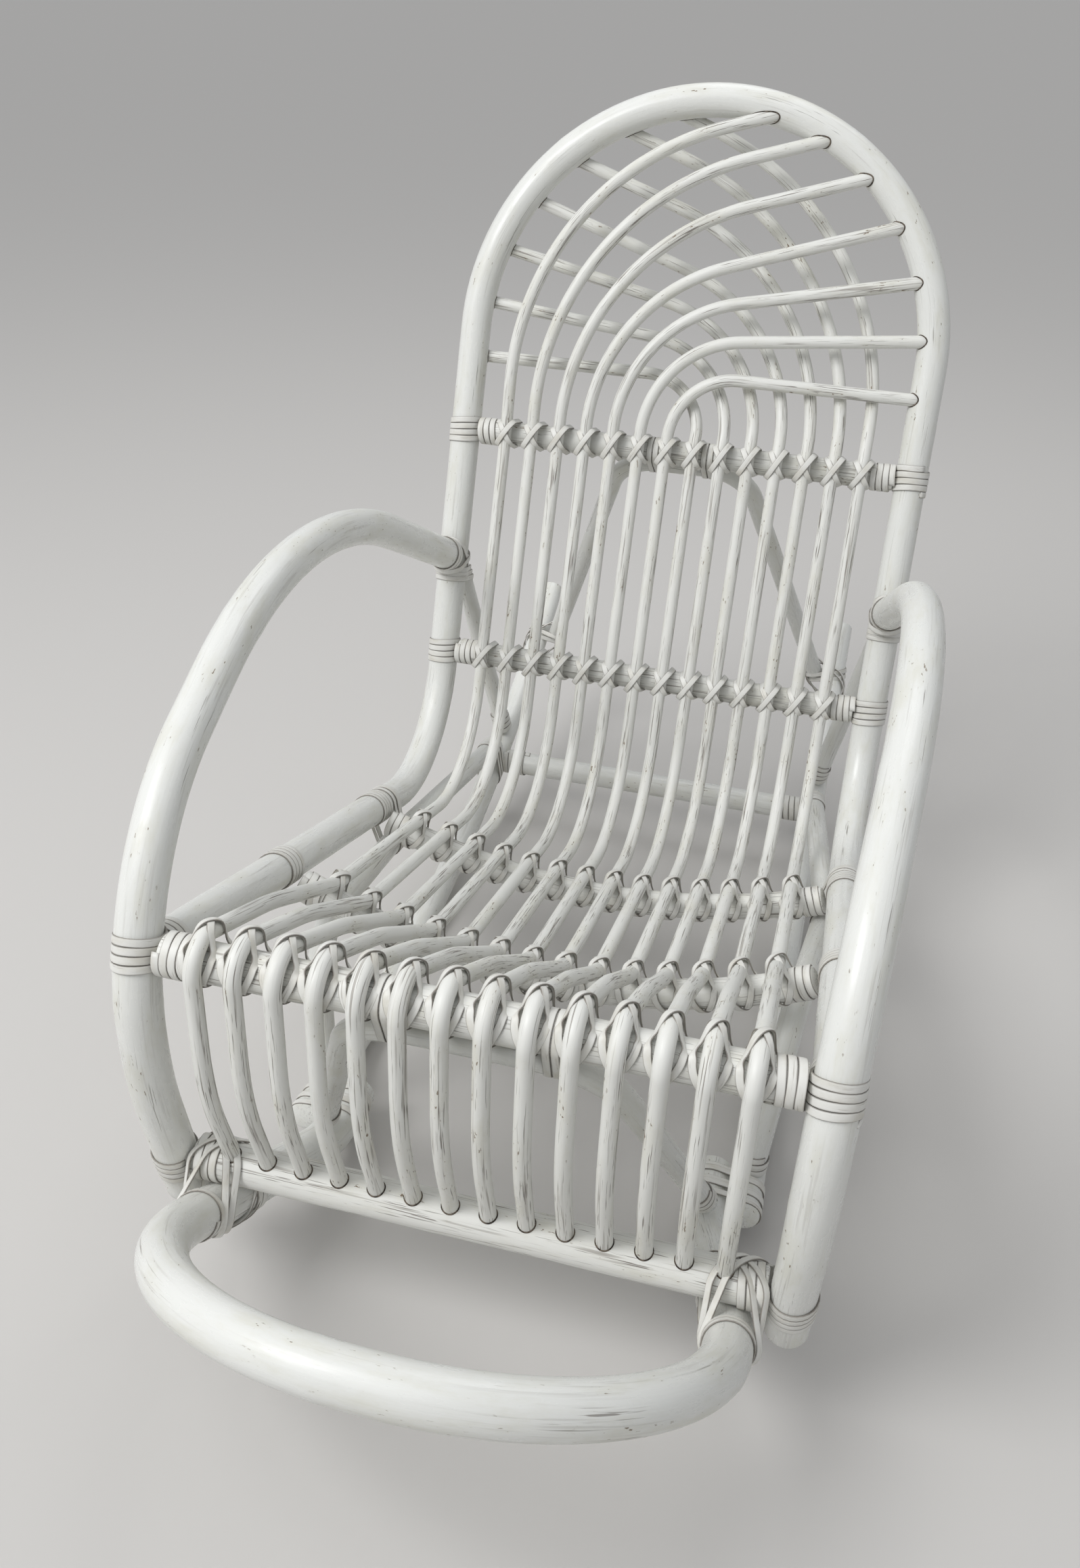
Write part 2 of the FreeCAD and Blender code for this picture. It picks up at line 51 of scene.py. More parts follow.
# Sizes and places, as in the solids. A place in the side view is (y, z).
SHIFT = 427.1
HALF = 255.0
GAP = 0.3
STRIP = 1.4
BAND = STRIP + 2 * GAP
PITCH = 31.0
SPINDLES = 14
FAN = SPINDLES // 2
SPINDLE_R = 6.75
HOOP_R = 17.0
ARM_R = 18.0
LOOP_R = 19.0
RUNNER_R = 14.0
BOTTOM_R = 17.0
FRONT_R = 16.0
RAIL_R = 13.5
BAR_R = 14.0
ARCH_R = 10.5
BRACE_R = 10.5
BRACKET_R = 12.0

# The back and the seat: slopes in degrees, heights up the back from its foot
BACK_LEAN = 71.8
BACK_FOOT = (717.0, 258.0)
SEAT_SLOPE = 18.5
SEAT_START_Z = 345.0
SEAT_BEND = 136.0
LOWER = 6.0
JOINT = 120.0
UPPER = 266.0
ARCH_RISE = 380.0

# The arms, bowed outward at the elbow
ARM_CORNERS = ((377.0, 568.0), (-19.0, 425.0), (-19.0, 232.0), (14.0, 83.0))
ARM_BENDS = (500.0, 200.0, 400.0)
ARM_BOW = 26.0
ARM_SET = 0.12
ARM_FRONT_Y = 200.0

# The cross rails. The sagging ones are (y, z, sag).
BOTTOM_RAIL = (5.0, 132.0)
FRONT_RAIL = (-5.0, 352.0)
MIDDLE_RAIL = (235.0, 250.0, 58.0)
REAR_RAIL = (468.0, 171.0, 46.0)

# The spindles, from the bottom rail up, and the fan's angles in degrees
HOLE_DEPTH = 14.0
BELLY = (-28.5, 240.0)
BELLY_BEND = 300.0
HUMP_SHARE = 0.42
HUMP_RISES = (4.5, 7.0)
HUMP_BEND = 420.0
MIDDLE_BEND = 170.0
BACK_BEND = 125.0
LEAVE_ROOM = 4.0
LEAVE_BEND = 60.0
FAN_BEND = 296.0
FAN_SHARE = 0.995
FAN_FIRST = -7.0
FAN_SPAN = 84.0
FAN_TIP = 18.0
FAN_LEVEL = 3
FAN_FRONT_LEAN = 4.6
FAN_REAR_LEAN = 18.0
FAN_APART = 8.5
FAN_SINK = 0.35

# The base
RUNNER_X = 209.0
ROCKER = 1300.0
LOW_Y = 422.9
RUNNER_FRONT = 150.0
RUNNER_REAR = 1090.0
LOOP_END = (200.0, 37.0)
LOOP_HEEL = (130.0, 42.0)
LOOP_TOE = (-224.0, 244.0)
LOOP_X = 213.0
LOOP_SEAT = 54.3
LOOP_ROOM = 1.7
LOOP_BENDS = (120.0, 90.0, 205.0, 205.0, 90.0, 120.0)
BAR_Y = 800.0
REAR_FOOT_Y = 1012.0
REAR_FOOT_LIFT = 4.0
REAR_HEAD_X = 72.0
REAR_HEAD_DROP = 12.0
REAR_BEND = 60.0
UNDER_FOOT_Y = 128.0
UNDER_FOOT_ROOM = 2.0
UNDER_HEAD_X = 95.0
UNDER_HEAD_BACK = 6.0
UNDER_BEND = 70.0
BRACE_Y = 834.0
BRACE_ROOM = 2.8
BRACE_DROP = 12.0
BRACKET_TOE_Y = 205.0
BRACKET_KNEE = (12.0, 227.0, 203.0)
BRACKET_CORNER = (14.0, 500.0, 130.0)
BRACKET_HEEL_Y = 792.0
BRACKET_ROOM = 2.5
BRACKET_BENDS = (60.0, 150.0)

# Fineness of the meshes
STEP = 12.0
FINE_STEP = 8.0
SPINDLE_STEP = 10.0
AROUND_THICK = 36
AROUND_RAIL = 32
AROUND_SAG = 28
AROUND_SLIM = 24
AROUND_SPINDLE = 20
STRAIGHT_TURN = 0.002
CLOSEST = 0.05
ALONG = 0.8

# Natural cane: eased ends, swollen joints and a slow wave in the thickness
EASE = 1.6
EASE_STEP = 0.3
EASE_CLEAR = 1.5
KNOT_FIRST = (90, 260)
KNOT_SPACING = (290, 360)
KNOT_RUN = 7.0
KNOT_SWELL = 0.016
WAVE_SWELL = 0.008
WAVE_RUN = 57.0
TUBE_OFFSET = 3710.0

# Rims of the spindles' holes, dark with painted shade in the crevice
RIM_STEPS = 36
RIM_SEARCH = 12
RIM_HALVINGS = 14
RIM_FALLBACK = 1.5
RIM_SIDES = 6
RIM_R = 0.75
RIM_OUT = 0.25

# Strips: a winding goes round one pole, a tie round several, a saddle over a cane on a rail
STRIP_OFFSETS = (0, 9000)
# Each point is across, up, and the painted shade that darkens the strip's sides in the seams between turns
STRIP_PROFILE = (
    (-0.9, 0.0, 0.2), (-1.0, 0.1, 0.9), (-1.0, 0.7, 0.8), (-0.88, 1.0, 0.6),
    (-0.62, 1.06, 0.0), (0.0, 1.1, 0.0), (0.62, 1.06, 0.0), (0.88, 1.0, 0.6),
    (1.0, 0.7, 0.8), (1.0, 0.1, 0.9), (0.9, 0.0, 0.2), (0.0, 0.0, 0.1),
)
WIND_STEPS = 26
WIND_WIDTH = 6.6
WIND_PITCH = WIND_WIDTH * 1.05
WIND_LIFT = 0.3
WIND_LEAN = 0.06
WIND_SWAY = 0.5
WIND_TWIST = 0.04
TUCK_RUN = 4.0
TUCK_SHARE = 0.9
TUCK_DEPTH = 0.6
TIE_STEPS = 40
TIE_STEP = 3.2
TIE_LEAST = 36
TIE_THICK = 1.3
TIE_LIFT = 0.4
WIDE = 6.4
MEDIUM = 6.2
NARROW = 6.0
SADDLE_STEPS = 96
SADDLE_SWING = 0.5
SADDLE_REACH = 1.5
SADDLE_PEAK = 1.03
SADDLE_LEAN = 0.75
SADDLE_LEAN_REACH = 1.1
SADDLE_ROOM = 1.5
SADDLE_EASING = 5

# Places, turns and lifts of the lashings
CROSS_SLANTS = (0.56, 0.66)
CROSS_LIFTS = ((-1, 0.3), (1, 1.7))
SEAT_REACHES = (8.5, 10.5)
SEAT_LIFTS = ((-1, 0.5), (1, 1.8))
FRONT_REACHES = (9.5, 11.5)
FRONT_LIFTS = ((1, 0.4), (-1, 1.8))
POST_TURNS = 4.0
RAIL_TURNS = 3.2
RAIL_IN = 11.5
FRONT_TURNS = 3.3
BOTTOM_IN = 11.0
LEG_Z = 126.0
LEG_TURNS = 3.6
KNEE_TURNS = 4.2
KNEE_REACH = 6.0
SEAT_END_IN = 18.0
SEAT_END_TURNS = 3.4
ARM_TIE_SLOPE = 33.0
ARM_TIE_LIFTS = ((1, 0.5), (-1, 1.8))
ARM_BALL = 0.85
ARM_END_IN = 11.0
ARM_END_TURNS = 2.0
BAR_IN = 15.0
BAR_TURNS = 4.0
LEG_TIE_YS = (158.0, 165.0, 172.0, 184.0, 191.0)
CORNER_Y = -14.0
CORNER_ACROSS = 0.72
CORNER_ALONG = 0.69
CORNER_TIES = ((1, -3.7, 1.6), (1, 3.7, 1.6), (-1, -3.7, 2.9), (-1, 3.7, 2.9))
CORNER_WINDINGS = ((-44.0, 1.7), (22.0, 2.0))
TAIL_IN = 13.0
TAIL_REACH = 5.0
TAIL_LIFTS = ((1, 0.4), (-1, 1.8))
TAIL_SHIFTS = (-3.6, 3.6)
BRACE_SHARES = (0.93, 0.955, 0.98)
SEAT_TIE_YS = (486.0, 493.0, 500.0)
SEAT_TIE_WAY = Vector((0, 1, -0.25))
SEAT_TOP_Z = 300.0
HEEL_TIE_YS = (770.0, 777.0, 784.0)
HEEL_TIE_WAY = Vector((0, 1, 0.1))
HEEL_RUNNER_WAY = Vector((0, 1, 0.28))
BRACE_FOOT_IN = 16.0
BRACE_FOOT_TURNS = 3.4
BRACKET_TOE_TURNS = 2.6
HEAD_SHIFTS = (-3.5, 3.5)
REAR_TIE_X = 31.0
UNDER_TIE_X = 62.0
UNDER_FOOT_IN = 17.0
UNDER_FOOT_TURNS = 3.0

# Colours
POLE_WHITE = (0.75, 0.755, 0.725, 1.0)
CANE_WHITE = (0.74, 0.74, 0.705, 1.0)
DULL_SHARES = (0.86, 0.845, 0.77, 1.0)
CRACK_GREY = (0.36, 0.34, 0.31, 1.0)
LINE_BROWN = (0.20, 0.18, 0.16, 1.0)
CHIP_BROWN = (0.20, 0.15, 0.10, 1.0)
STRIP_WHITE = (0.72, 0.715, 0.68, 1.0)
STRIP_DULL = (0.58, 0.555, 0.48, 1.0)
STRIP_GRAIN = (0.22, 0.19, 0.15, 1.0)
# Painted shade for the strips' edges, in the seams between the turns
STRIP_EDGE_SHADE = (0.12, 0.10, 0.08, 1.0)
# Painted shade for the crevices where the spindles go into their holes
CREVICE_SHADE_DARK = (0.035, 0.028, 0.022, 1.0)
CREVICE_SHADE_LIGHT = (0.16, 0.13, 0.10, 1.0)
FLOOR_PALE = (0.58, 0.565, 0.545, 1.0)
SKY = (0.80, 0.82, 0.85, 1.0)

# Floor and light, in metres and degrees
FLOOR_REACH = 400
FLOOR_ROUGH = 0.85
SKY_STRENGTH = 0.48
SUN_ENERGY = 0.95
SUN_ANGLE = 60.0
SUN_WAY = (0.45, 0.55, -1.0)

# Camera, as fitted to the photograph
SENSOR = 36.0
FOCAL_PIXELS = 2000.0
PHOTO_TALL = 2317.0
CAMERA_PLACE = (206.02, -698.84, 990.85)
CAMERA_RIGHT = Vector((0.9669760, 0.2519753, 0.0382878))
CAMERA_DOWN = Vector((0.1638863, -0.4996837, -0.8505630))
CAMERA_AHEAD = Vector((-0.1951891, 0.8287488, -0.5244775))


def at(x, y, z):
    return Vector((x, y - SHIFT, z))


def mirrored(points):
    # The same places on the other side, from the far end back
    return [Vector((-p.x, p.y, p.z)) for p in points[::-1]]


# Materials

class Paint:
    # One material, with the nodes that feed its shader
    def __init__(self, name):
        self.material = bpy.data.materials.new(name)
        self.material.use_nodes = True
        self.nodes = self.material.node_tree.nodes
        self.links = self.material.node_tree.links
        self.shader = self.nodes["Principled BSDF"]

    def attribute(self, name, output):
        node = self.nodes.new("ShaderNodeAttribute")
        node.attribute_name = name
        return node.outputs[output]

    def noise(self, vector, scale, detail, rough=0.55):
        node = self.nodes.new("ShaderNodeTexNoise")
        node.inputs["Scale"].default_value = scale
        node.inputs["Detail"].default_value = detail
        node.inputs["Roughness"].default_value = rough
        self.links.new(vector, node.inputs["Vector"])
        return node.outputs["Fac"]

    def flow_noise(self, along, across, detail, rough=0.55):
        # Noise in coordinates that run along a pole and round it, in metres
        mapping = self.nodes.new("ShaderNodeMapping")
        mapping.inputs["Scale"].default_value = (along, across, across)
        self.links.new(self.attribute("flow", "Vector"), mapping.inputs["Vector"])
        return self.noise(mapping.outputs["Vector"], 1.0, detail, rough)

    def ramp(self, value, low, high, first=0.0, last=1.0):
        node = self.nodes.new("ShaderNodeMapRange")
        node.inputs["From Min"].default_value = low
        node.inputs["From Max"].default_value = high
        node.inputs["To Min"].default_value = first
        node.inputs["To Max"].default_value = last
        node.interpolation_type = "SMOOTHSTEP"
        self.links.new(value, node.inputs["Value"])
        return node.outputs["Result"]

    def combine(self, one, two, kind="MULTIPLY"):
        node = self.nodes.new("ShaderNodeMath")
        node.operation = kind
        node.use_clamp = True
        for index, value in enumerate((one, two)):
            if isinstance(value, float):
                node.inputs[index].default_value = value
            else:
                self.links.new(value, node.inputs[index])
        return node.outputs[0]

    def blend(self, factor, first, second):
        node = self.nodes.new("ShaderNodeMix")
        node.data_type = "RGBA"
        self.links.new(factor, node.inputs["Factor"])
        for socket, value in (("A", first), ("B", second)):
            place = [s for s in node.inputs if s.name == socket and s.type == "RGBA"][0]
            if isinstance(value, tuple):
                place.default_value = value
            else:
                self.links.new(value, place)
        return [s for s in node.outputs if s.type == "RGBA"][0]

    def colour(self, value):
        self.links.new(value, self.shader.inputs["Base Color"])

    def bump(self, height, strength, distance):
        node = self.nodes.new("ShaderNodeBump")
        node.inputs["Strength"].default_value = strength
        node.inputs["Distance"].default_value = distance
        self.links.new(height, node.inputs["Height"])
        self.links.new(node.outputs["Normal"], self.shader.inputs["Normal"])


def painted(name, white, streaks, gloss, chip_level, cluster, darkness):
    # White paint with cracks along the grain, clusters of fine dark lines, dull patches and chips
    paint = Paint(name)
    grain = paint.flow_noise(along=13.0, across=420.0, detail=1.5, rough=0.5)
    hair = paint.flow_noise(along=26.0, across=900.0, detail=2.0, rough=0.5)
    patch = paint.flow_noise(along=7.0, across=70.0, detail=2.0)
    stain = paint.flow_noise(along=16.0, across=55.0, detail=5.0, rough=0.65)
    speck = paint.flow_noise(along=150.0, across=420.0, detail=2.0, rough=0.5)
    worn = paint.ramp(patch, 0.40, 0.62)
    crack = paint.combine(paint.ramp(grain, 0.56, 0.68), worn)
    crack = paint.combine(crack, streaks)
    lines = paint.combine(paint.ramp(hair, 0.60, 0.67), paint.ramp(patch, *cluster))
    lines = paint.combine(lines, darkness)
    chipped = paint.ramp(speck, chip_level, chip_level + 0.05)
    chips = paint.combine(chipped, paint.ramp(stain, 0.50, 0.62))
    dull = paint.ramp(stain, 0.44, 0.72, 0.0, 0.6)
    dull_white = tuple(part * share for part, share in zip(white, DULL_SHARES))
    colour = paint.blend(dull, white, dull_white)
    colour = paint.blend(crack, colour, CRACK_GREY)
    colour = paint.blend(lines, colour, LINE_BROWN)
    paint.colour(paint.blend(chips, colour, CHIP_BROWN))
    roughness = paint.ramp(stain, 0.35, 0.75, gloss, gloss + 0.25)
    paint.links.new(roughness, paint.shader.inputs["Roughness"])
    height = paint.combine(paint.combine(grain, 0.5), crack, "SUBTRACT")
    paint.bump(height, strength=0.35, distance=0.0007)
    paint.shader.inputs["Specular IOR Level"].default_value = 0.45
    return paint.material


def strip_material(name):
    # Flat cane strip, darker along its two edges: painted shade in the seams between the turns
    paint = Paint(name)
    edge = paint.attribute("edge", "Fac")
    grain = paint.flow_noise(along=40.0, across=500.0, detail=3.0, rough=0.6)
    stain = paint.flow_noise(along=35.0, across=60.0, detail=4.0, rough=0.6)
    colour = paint.blend(paint.ramp(stain, 0.42, 0.72, 0.0, 0.7), STRIP_WHITE, STRIP_DULL)
    colour = paint.blend(paint.ramp(grain, 0.60, 0.72, 0.0, 0.45), colour, STRIP_GRAIN)
    # Painted shade: the strip's sides blend toward the dark edge colour
    paint.colour(paint.blend(paint.ramp(edge, 0.25, 1.0, 0.0, 0.9), colour, STRIP_EDGE_SHADE))
    paint.shader.inputs["Roughness"].default_value = 0.5
    paint.bump(grain, strength=0.3, distance=0.0004)
    return paint.material


def crevice_shade_material(name):
    # Painted shade for the crevices round the holes, blotched dark
    paint = Paint(name)
    place = paint.nodes.new("ShaderNodeTexCoord")
    blotch = paint.noise(place.outputs["Object"], scale=260.0, detail=3.0)
    paint.colour(paint.blend(paint.ramp(blotch, 0.35, 0.65), CREVICE_SHADE_DARK, CREVICE_SHADE_LIGHT))
    paint.shader.inputs["Roughness"].default_value = 0.9
    return paint.material


POLE = painted(
    "painted_pole", POLE_WHITE,
    streaks=0.28, gloss=0.24, chip_level=0.67, cluster=(0.58, 0.68), darkness=0.75,
)
THIN = painted(
    "painted_spindle", CANE_WHITE,
    streaks=0.85, gloss=0.40, chip_level=0.65, cluster=(0.34, 0.56), darkness=0.93,
)
STRIPS = strip_material("painted_strip")
# Painted shade for the crevices where the spindles go into their holes
CREVICE_SHADE = crevice_shade_material("hole_crevice_shade")


# Meshes

def finish_mesh(name, verts, faces, material, flows=None, edge_shades=None):
    mesh = bpy.data.meshes.new(name)
    mesh.from_pydata([v * MM for v in verts], [], faces)
    mesh.validate()
    mesh.update()
    for polygon in mesh.polygons:
        polygon.use_smooth = True
    if flows is not None:
        store = mesh.attributes.new("flow", "FLOAT_VECTOR", "POINT")
        store.data.foreach_set("vector", [c * MM for f in flows for c in f])
    # Painted shade for the strips' sides, stored for each point
    if edge_shades is not None:
        store = mesh.attributes.new("edge", "FLOAT", "POINT")
        store.data.foreach_set("value", edge_shades)
    mesh.materials.append(material)
    piece = bpy.data.objects.new(name, mesh)
    bpy.context.scene.collection.objects.link(piece)
    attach(piece, "root")
    return piece


def skin(rings, around, closed):
    # Faces between rings of points, with flat ends where the rings don't close
    faces = []
    for ring in range(rings if closed else rings - 1):
        here = ring * around
        there = (ring + 1) % rings * around
        for step in range(around):
            nxt = (step + 1) % around
            faces.append((here + step, here + nxt, there + nxt, there + step))
    if not closed:
        faces.append(tuple(range(around))[::-1])
        faces.append(tuple((rings - 1) * around + step for step in range(around)))
    return faces


def square_to(axis, pick, spare):
    # A direction square to axis: from pick, or from spare where pick runs along axis
    pick = pick if abs(axis.dot(pick)) < ALONG else spare
    return (pick - axis * pick.dot(axis)).normalized()


def frames(points):
    # Directions along a path, with a side that turns as little as it can
    tangents = []
    for index in range(len(points)):
        before = points[max(index - 1, 0)]
        after = points[min(index + 1, len(points) - 1)]
        tangents.append((after - before).normalized())
    side = square_to(tangents[0], X, Z)
    sides = [side]
    for tangent in tangents[1:]:
        side = (side - tangent * side.dot(tangent)).normalized()
        sides.append(side)
    return tangents, sides


def eased_end(ring, inward):
    # The outer three rings of a pole's end, with its edge rounded over
    point, side, tangent, size, length = ring
    ease = inward * EASE
    return [
        (point, side, tangent, size - EASE, length),
        (point + tangent * ease * EASE_STEP, side, tangent, size - EASE * EASE_STEP, length),
        (point + tangent * ease, side, tangent, size, length + ease),
    ]


tube_count = 0


def tube_data(points, radius, around):
    # A pole with eased ends, small swellings where the cane's joints were, and slight unevenness
    global tube_count
    tube_count += 1
    tangents, sides = frames(points)
    lengths = [0.0]
    for one, two in zip(points, points[1:]):
        lengths.append(lengths[-1] + (two - one).length)
    first_knot = random.uniform(*KNOT_FIRST)
    spacing = random.uniform(*KNOT_SPACING)
    wave = random.uniform(0, PHASE)
    rings = []
    for point, side, tangent, length in zip(points, sides, tangents, lengths):
        away = (length - first_knot + spacing / 2) % spacing - spacing / 2
        grow = KNOT_SWELL * radius * math.exp(-(away / KNOT_RUN) ** 2)
        grow += WAVE_SWELL * radius * math.sin(length / WAVE_RUN + wave)
        rings.append((point, side, tangent, radius + grow, length))
    clear = EASE * EASE_CLEAR
    inner = [ring for ring in rings[1:-1] if clear < ring[-1] < lengths[-1] - clear]
    rings = eased_end(rings[0], 1) + inner + eased_end(rings[-1], -1)[::-1]
    verts = []
    flows = []
    offset = tube_count * TUBE_OFFSET
    for point, side, tangent, size, length in rings:
        other = tangent.cross(side)
        for step in range(around):
            angle = TURN * step / around
            verts.append(point + side * (size * math.cos(angle)) + other * (size * math.sin(angle)))
            flows.append((length + offset, size * math.cos(angle), size * math.sin(angle)))
    return verts, skin(len(rings), around, False), flows


def pole(name, node, points, radius, around, material=POLE):
    verts, faces, flows = tube_data(points, radius, around)
    piece = finish_mesh(name, verts, faces, material, flows)
    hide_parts(node)


def route(points, radii, step=STEP):
    # Straight runs joined by tangent arcs, sampled finely
    out = [points[0]]

    def run(end):
        count = max(1, int((end - out[-1]).length / step))
        base = out[-1]
        for index in range(1, count + 1):
            out.append(base.lerp(end, index / count))

    for index, radius in enumerate(radii, 1):
        corner = points[index]
        into = (corner - points[index - 1]).normalized()
        leave = (points[index + 1] - corner).normalized()
        turn = into.angle(leave)
        if turn < STRAIGHT_TURN:
            continue
        reach = radius * math.tan(turn / 2)
        first = corner - into * reach
        run(first)
        inward = (leave - into).normalized()
        centre = corner + inward * (radius / math.cos(turn / 2))
        axis = into.cross(leave).normalized()
        arm = first - centre
        count = max(3, int(turn * radius / step), int(math.degrees(turn) / 4))
        for k in range(1, count + 1):
            out.append(centre + Matrix.Rotation(turn * k / count, 3, axis) @ arm)
    run(points[-1])
    return [p for i, p in enumerate(out) if i == 0 or (p - out[i - 1]).length > CLOSEST]


def arc(first, middle, last, step=STEP):
    # Points on the circle through three places
    one = middle - first
    two = last - first
    normal = one.cross(two)
    toward = normal.cross(one) * two.length_squared + two.cross(normal) * one.length_squared
    centre = first + toward / (2 * normal.length_squared)
    arm = first - centre
    turn = arm.angle(last - centre)
    if (middle - centre).angle(arm) > turn:
        turn = TURN - turn
    count = max(6, int(turn * arm.length / step))
    axis = normal.normalized()
    return [centre + Matrix.Rotation(turn * k / count, 3, axis) @ arm for k in range(count + 1)]


# Strips

def ribbon_data(points, outs, widths, thick, closed):
    # A flat strip with eased edges: its outs point away from what it lies on
    offset = random.uniform(*STRIP_OFFSETS)
    verts = []
    flows = []
    edge_shades = []
    length = 0.0
    for index, (point, out, wide) in enumerate(zip(points, outs, widths)):
        if index:
            length += (point - points[index - 1]).length
        # The profile's third value is painted shade on the strip's sides, kept for each point
        for across, high, edge_shade in STRIP_PROFILE:
            verts.append(point + wide * across + out * (thick * high))
            flows.append((length + offset, wide.length * across, thick * high))
            edge_shades.append(edge_shade)
    return verts, skin(len(points), len(STRIP_PROFILE), closed), flows, edge_shades


def hull(spots):
    # The tight line round flat spots
    spots = sorted(set((round(a, 4), round(b, 4)) for a, b in spots))

    def half(items):
        chain = []
        for spot in items:
            while len(chain) > 1:
                (ax, ay), (bx, by) = chain[-2:]
                if (bx - ax) * (spot[1] - ay) - (by - ay) * (spot[0] - ax) > 0:
                    break
                chain.pop()
            chain.append(spot)
        return chain[:-1]

    return [Vector(spot) for spot in half(spots) + half(spots[::-1])]


def evenly(loop):
    # Points at equal steps along a closed line
    lengths = [0.0]
    for index, spot in enumerate(loop):
        lengths.append(lengths[-1] + (loop[(index + 1) % len(loop)] - spot).length)
    count = max(TIE_LEAST, int(lengths[-1] / TIE_STEP))
    even = []
    spot = 0
    for index in range(count):
        want = lengths[-1] * index / count
        while lengths[spot + 1] < want:
            spot += 1
        share = (want - lengths[spot]) / max(1e-6, lengths[spot + 1] - lengths[spot])
        even.append(loop[spot].lerp(loop[(spot + 1) % len(loop)], share))
    return even


def smoothed(values):
    # A closed row of values, each drawn toward its neighbours
    count = len(values)
    for _ in range(SADDLE_EASING):
        values = [(values[i - 1] + 2 * values[i] + values[(i + 1) % count]) / 4 for i in range(count)]
    return values


class Lashing:
    # Many strips gathered in one piece
    def __init__(self, name, *nodes):
        self.name = name
        self.nodes = nodes
        self.verts = []
        self.faces = []
        self.flows = []
        self.edge_shades = []

    def add(self, points, outs, widths, thick, closed=True):
        base = len(self.verts)
        verts, faces, flows, edge_shades = ribbon_data(points, outs, widths, thick, closed)
        self.verts += verts
        self.faces += [tuple(base + i for i in face) for face in faces]
        self.flows += flows
        self.edge_shades += edge_shades

    def winding(self, place, along, radius, turns):
        # One strip wound side by side round a pole, with its ends tucked in
        axis = along.normalized()
        side = square_to(axis, Z, Y)
        other = axis.cross(side)
        points = []
        outs = []
        widths = []
        start = random.uniform(0, PHASE)
        lean = random.uniform(-WIND_LEAN, WIND_LEAN)
        total = int(turns * WIND_STEPS)
        for index in range(total + 1):
            angle = start + TURN * index / WIND_STEPS
            out = side * math.cos(angle) + other * math.sin(angle)
            shift = (index / WIND_STEPS - turns / 2) * WIND_PITCH
            sway = WIND_SWAY * math.sin(angle + shift)
            ends = math.exp(-index / TUCK_RUN) + math.exp(-(total - index) / TUCK_RUN)
            height = radius + WIND_LIFT - TUCK_SHARE * ends * TUCK_DEPTH
            points.append(place + axis * (shift + sway) + out * height)
            outs.append((out + axis * lean).normalized())
            widths.append((axis - out.cross(axis) * WIND_TWIST).normalized() * (WIND_WIDTH / 2))
        self.add(points, outs, widths, STRIP, False)

    def tie(self, centre, normal, poles, width, lift=TIE_LIFT, thick=TIE_THICK):
        # A strip drawn tight round several poles in the plane through centre. A pole without a way is a ball.
        normal = normal.normalized()
        u = square_to(normal, Z, Y)
        v = normal.cross(u)
        spots = []
        for place, way, radius in poles:
            if way is not None:
                way = way.normalized()
                one = square_to(way, X, Z)
                two = way.cross(one)
            for step in range(TIE_STEPS):
                angle = TURN * step / TIE_STEPS
                if way is None:
                    spot = place - centre
                    spots.append((
                        spot.dot(u) + radius * math.cos(angle), spot.dot(v) + radius * math.sin(angle)
                    ))
                    continue
                point = place + (one * math.cos(angle) + two * math.sin(angle)) * (radius + lift)
                spot = point - way * ((point - centre).dot(normal) / way.dot(normal)) - centre
                spots.append((spot.dot(u), spot.dot(v)))
        loop = evenly(hull(spots))
        points = []
        outs = []
        for index, spot in enumerate(loop):
            along = (loop[(index + 1) % len(loop)] - loop[index - 1]).normalized()
            points.append(centre + u * spot.x + v * spot.y)
            outs.append(u * along.y + v * -along.x)
        self.add(points, outs, [normal * (width / 2)] * len(loop), thick)

    def saddle(self, centre, out, along, way, rail_r, turn, reach, straight, lift):
        # A strip under a rail and over a cane that lies straight on it or bends down round it
        # along runs with the rail, way with the cane, and out from the rail to the cane
        wrap = rail_r + SPINDLE_R + GAP
        top = wrap + SPINDLE_R
        touch = math.acos(rail_r / top)
        cross = []
        heights = []
        leans = []
        for index in range(SADDLE_STEPS):
            angle = TURN * index / SADDLE_STEPS
            angle = angle - TURN if angle > math.pi else angle
            aside = turn * reach * math.sin(angle) * (1.0 + SADDLE_SWING * math.cos(angle))
            height = rail_r / math.cos(touch - abs(angle)) if abs(angle) < touch else rail_r
            if abs(aside) < SPINDLE_R and abs(angle) < SADDLE_REACH:
                rise = wrap + math.sqrt(SPINDLE_R ** 2 - aside ** 2)
                if angle < 0 or straight:
                    rise = min(rise / math.cos(angle), top * SADDLE_PEAK)
                height = max(height, rise)
            lean = 0.0
            if abs(angle) < SADDLE_LEAN_REACH:
                lean = math.asin(max(-1.0, min(1.0, aside / (SPINDLE_R + SADDLE_ROOM))))
            leans.append(SADDLE_LEAN * lean)
            cross.append((angle, aside))
            heights.append(height)
        heights = smoothed(heights)
        leans = smoothed(leans)
        points = []
        spokes = []
        for (angle, aside), height in zip(cross, heights):
            spoke = out * math.cos(angle) - way * math.sin(angle)
            spokes.append(spoke)
            points.append(centre + along * aside + spoke * (height + lift))
        outs = []
        widths = []
        for index, (spoke, lean) in enumerate(zip(spokes, leans)):
            line = (points[(index + 1) % SADDLE_STEPS] - points[index - 1]).normalized()
            face = spoke * math.cos(lean) + along * math.sin(lean)
            face = (face - line * face.dot(line)).normalized()
            outs.append(face)
            widths.append(line.cross(face).normalized() * (NARROW / 2))
        self.add(points, outs, widths, STRIP)

    def make(self):
        piece = finish_mesh(
            self.name, self.verts, self.faces, STRIPS, self.flows, self.edge_shades
        )
        if self.nodes:
            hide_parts(*self.nodes)


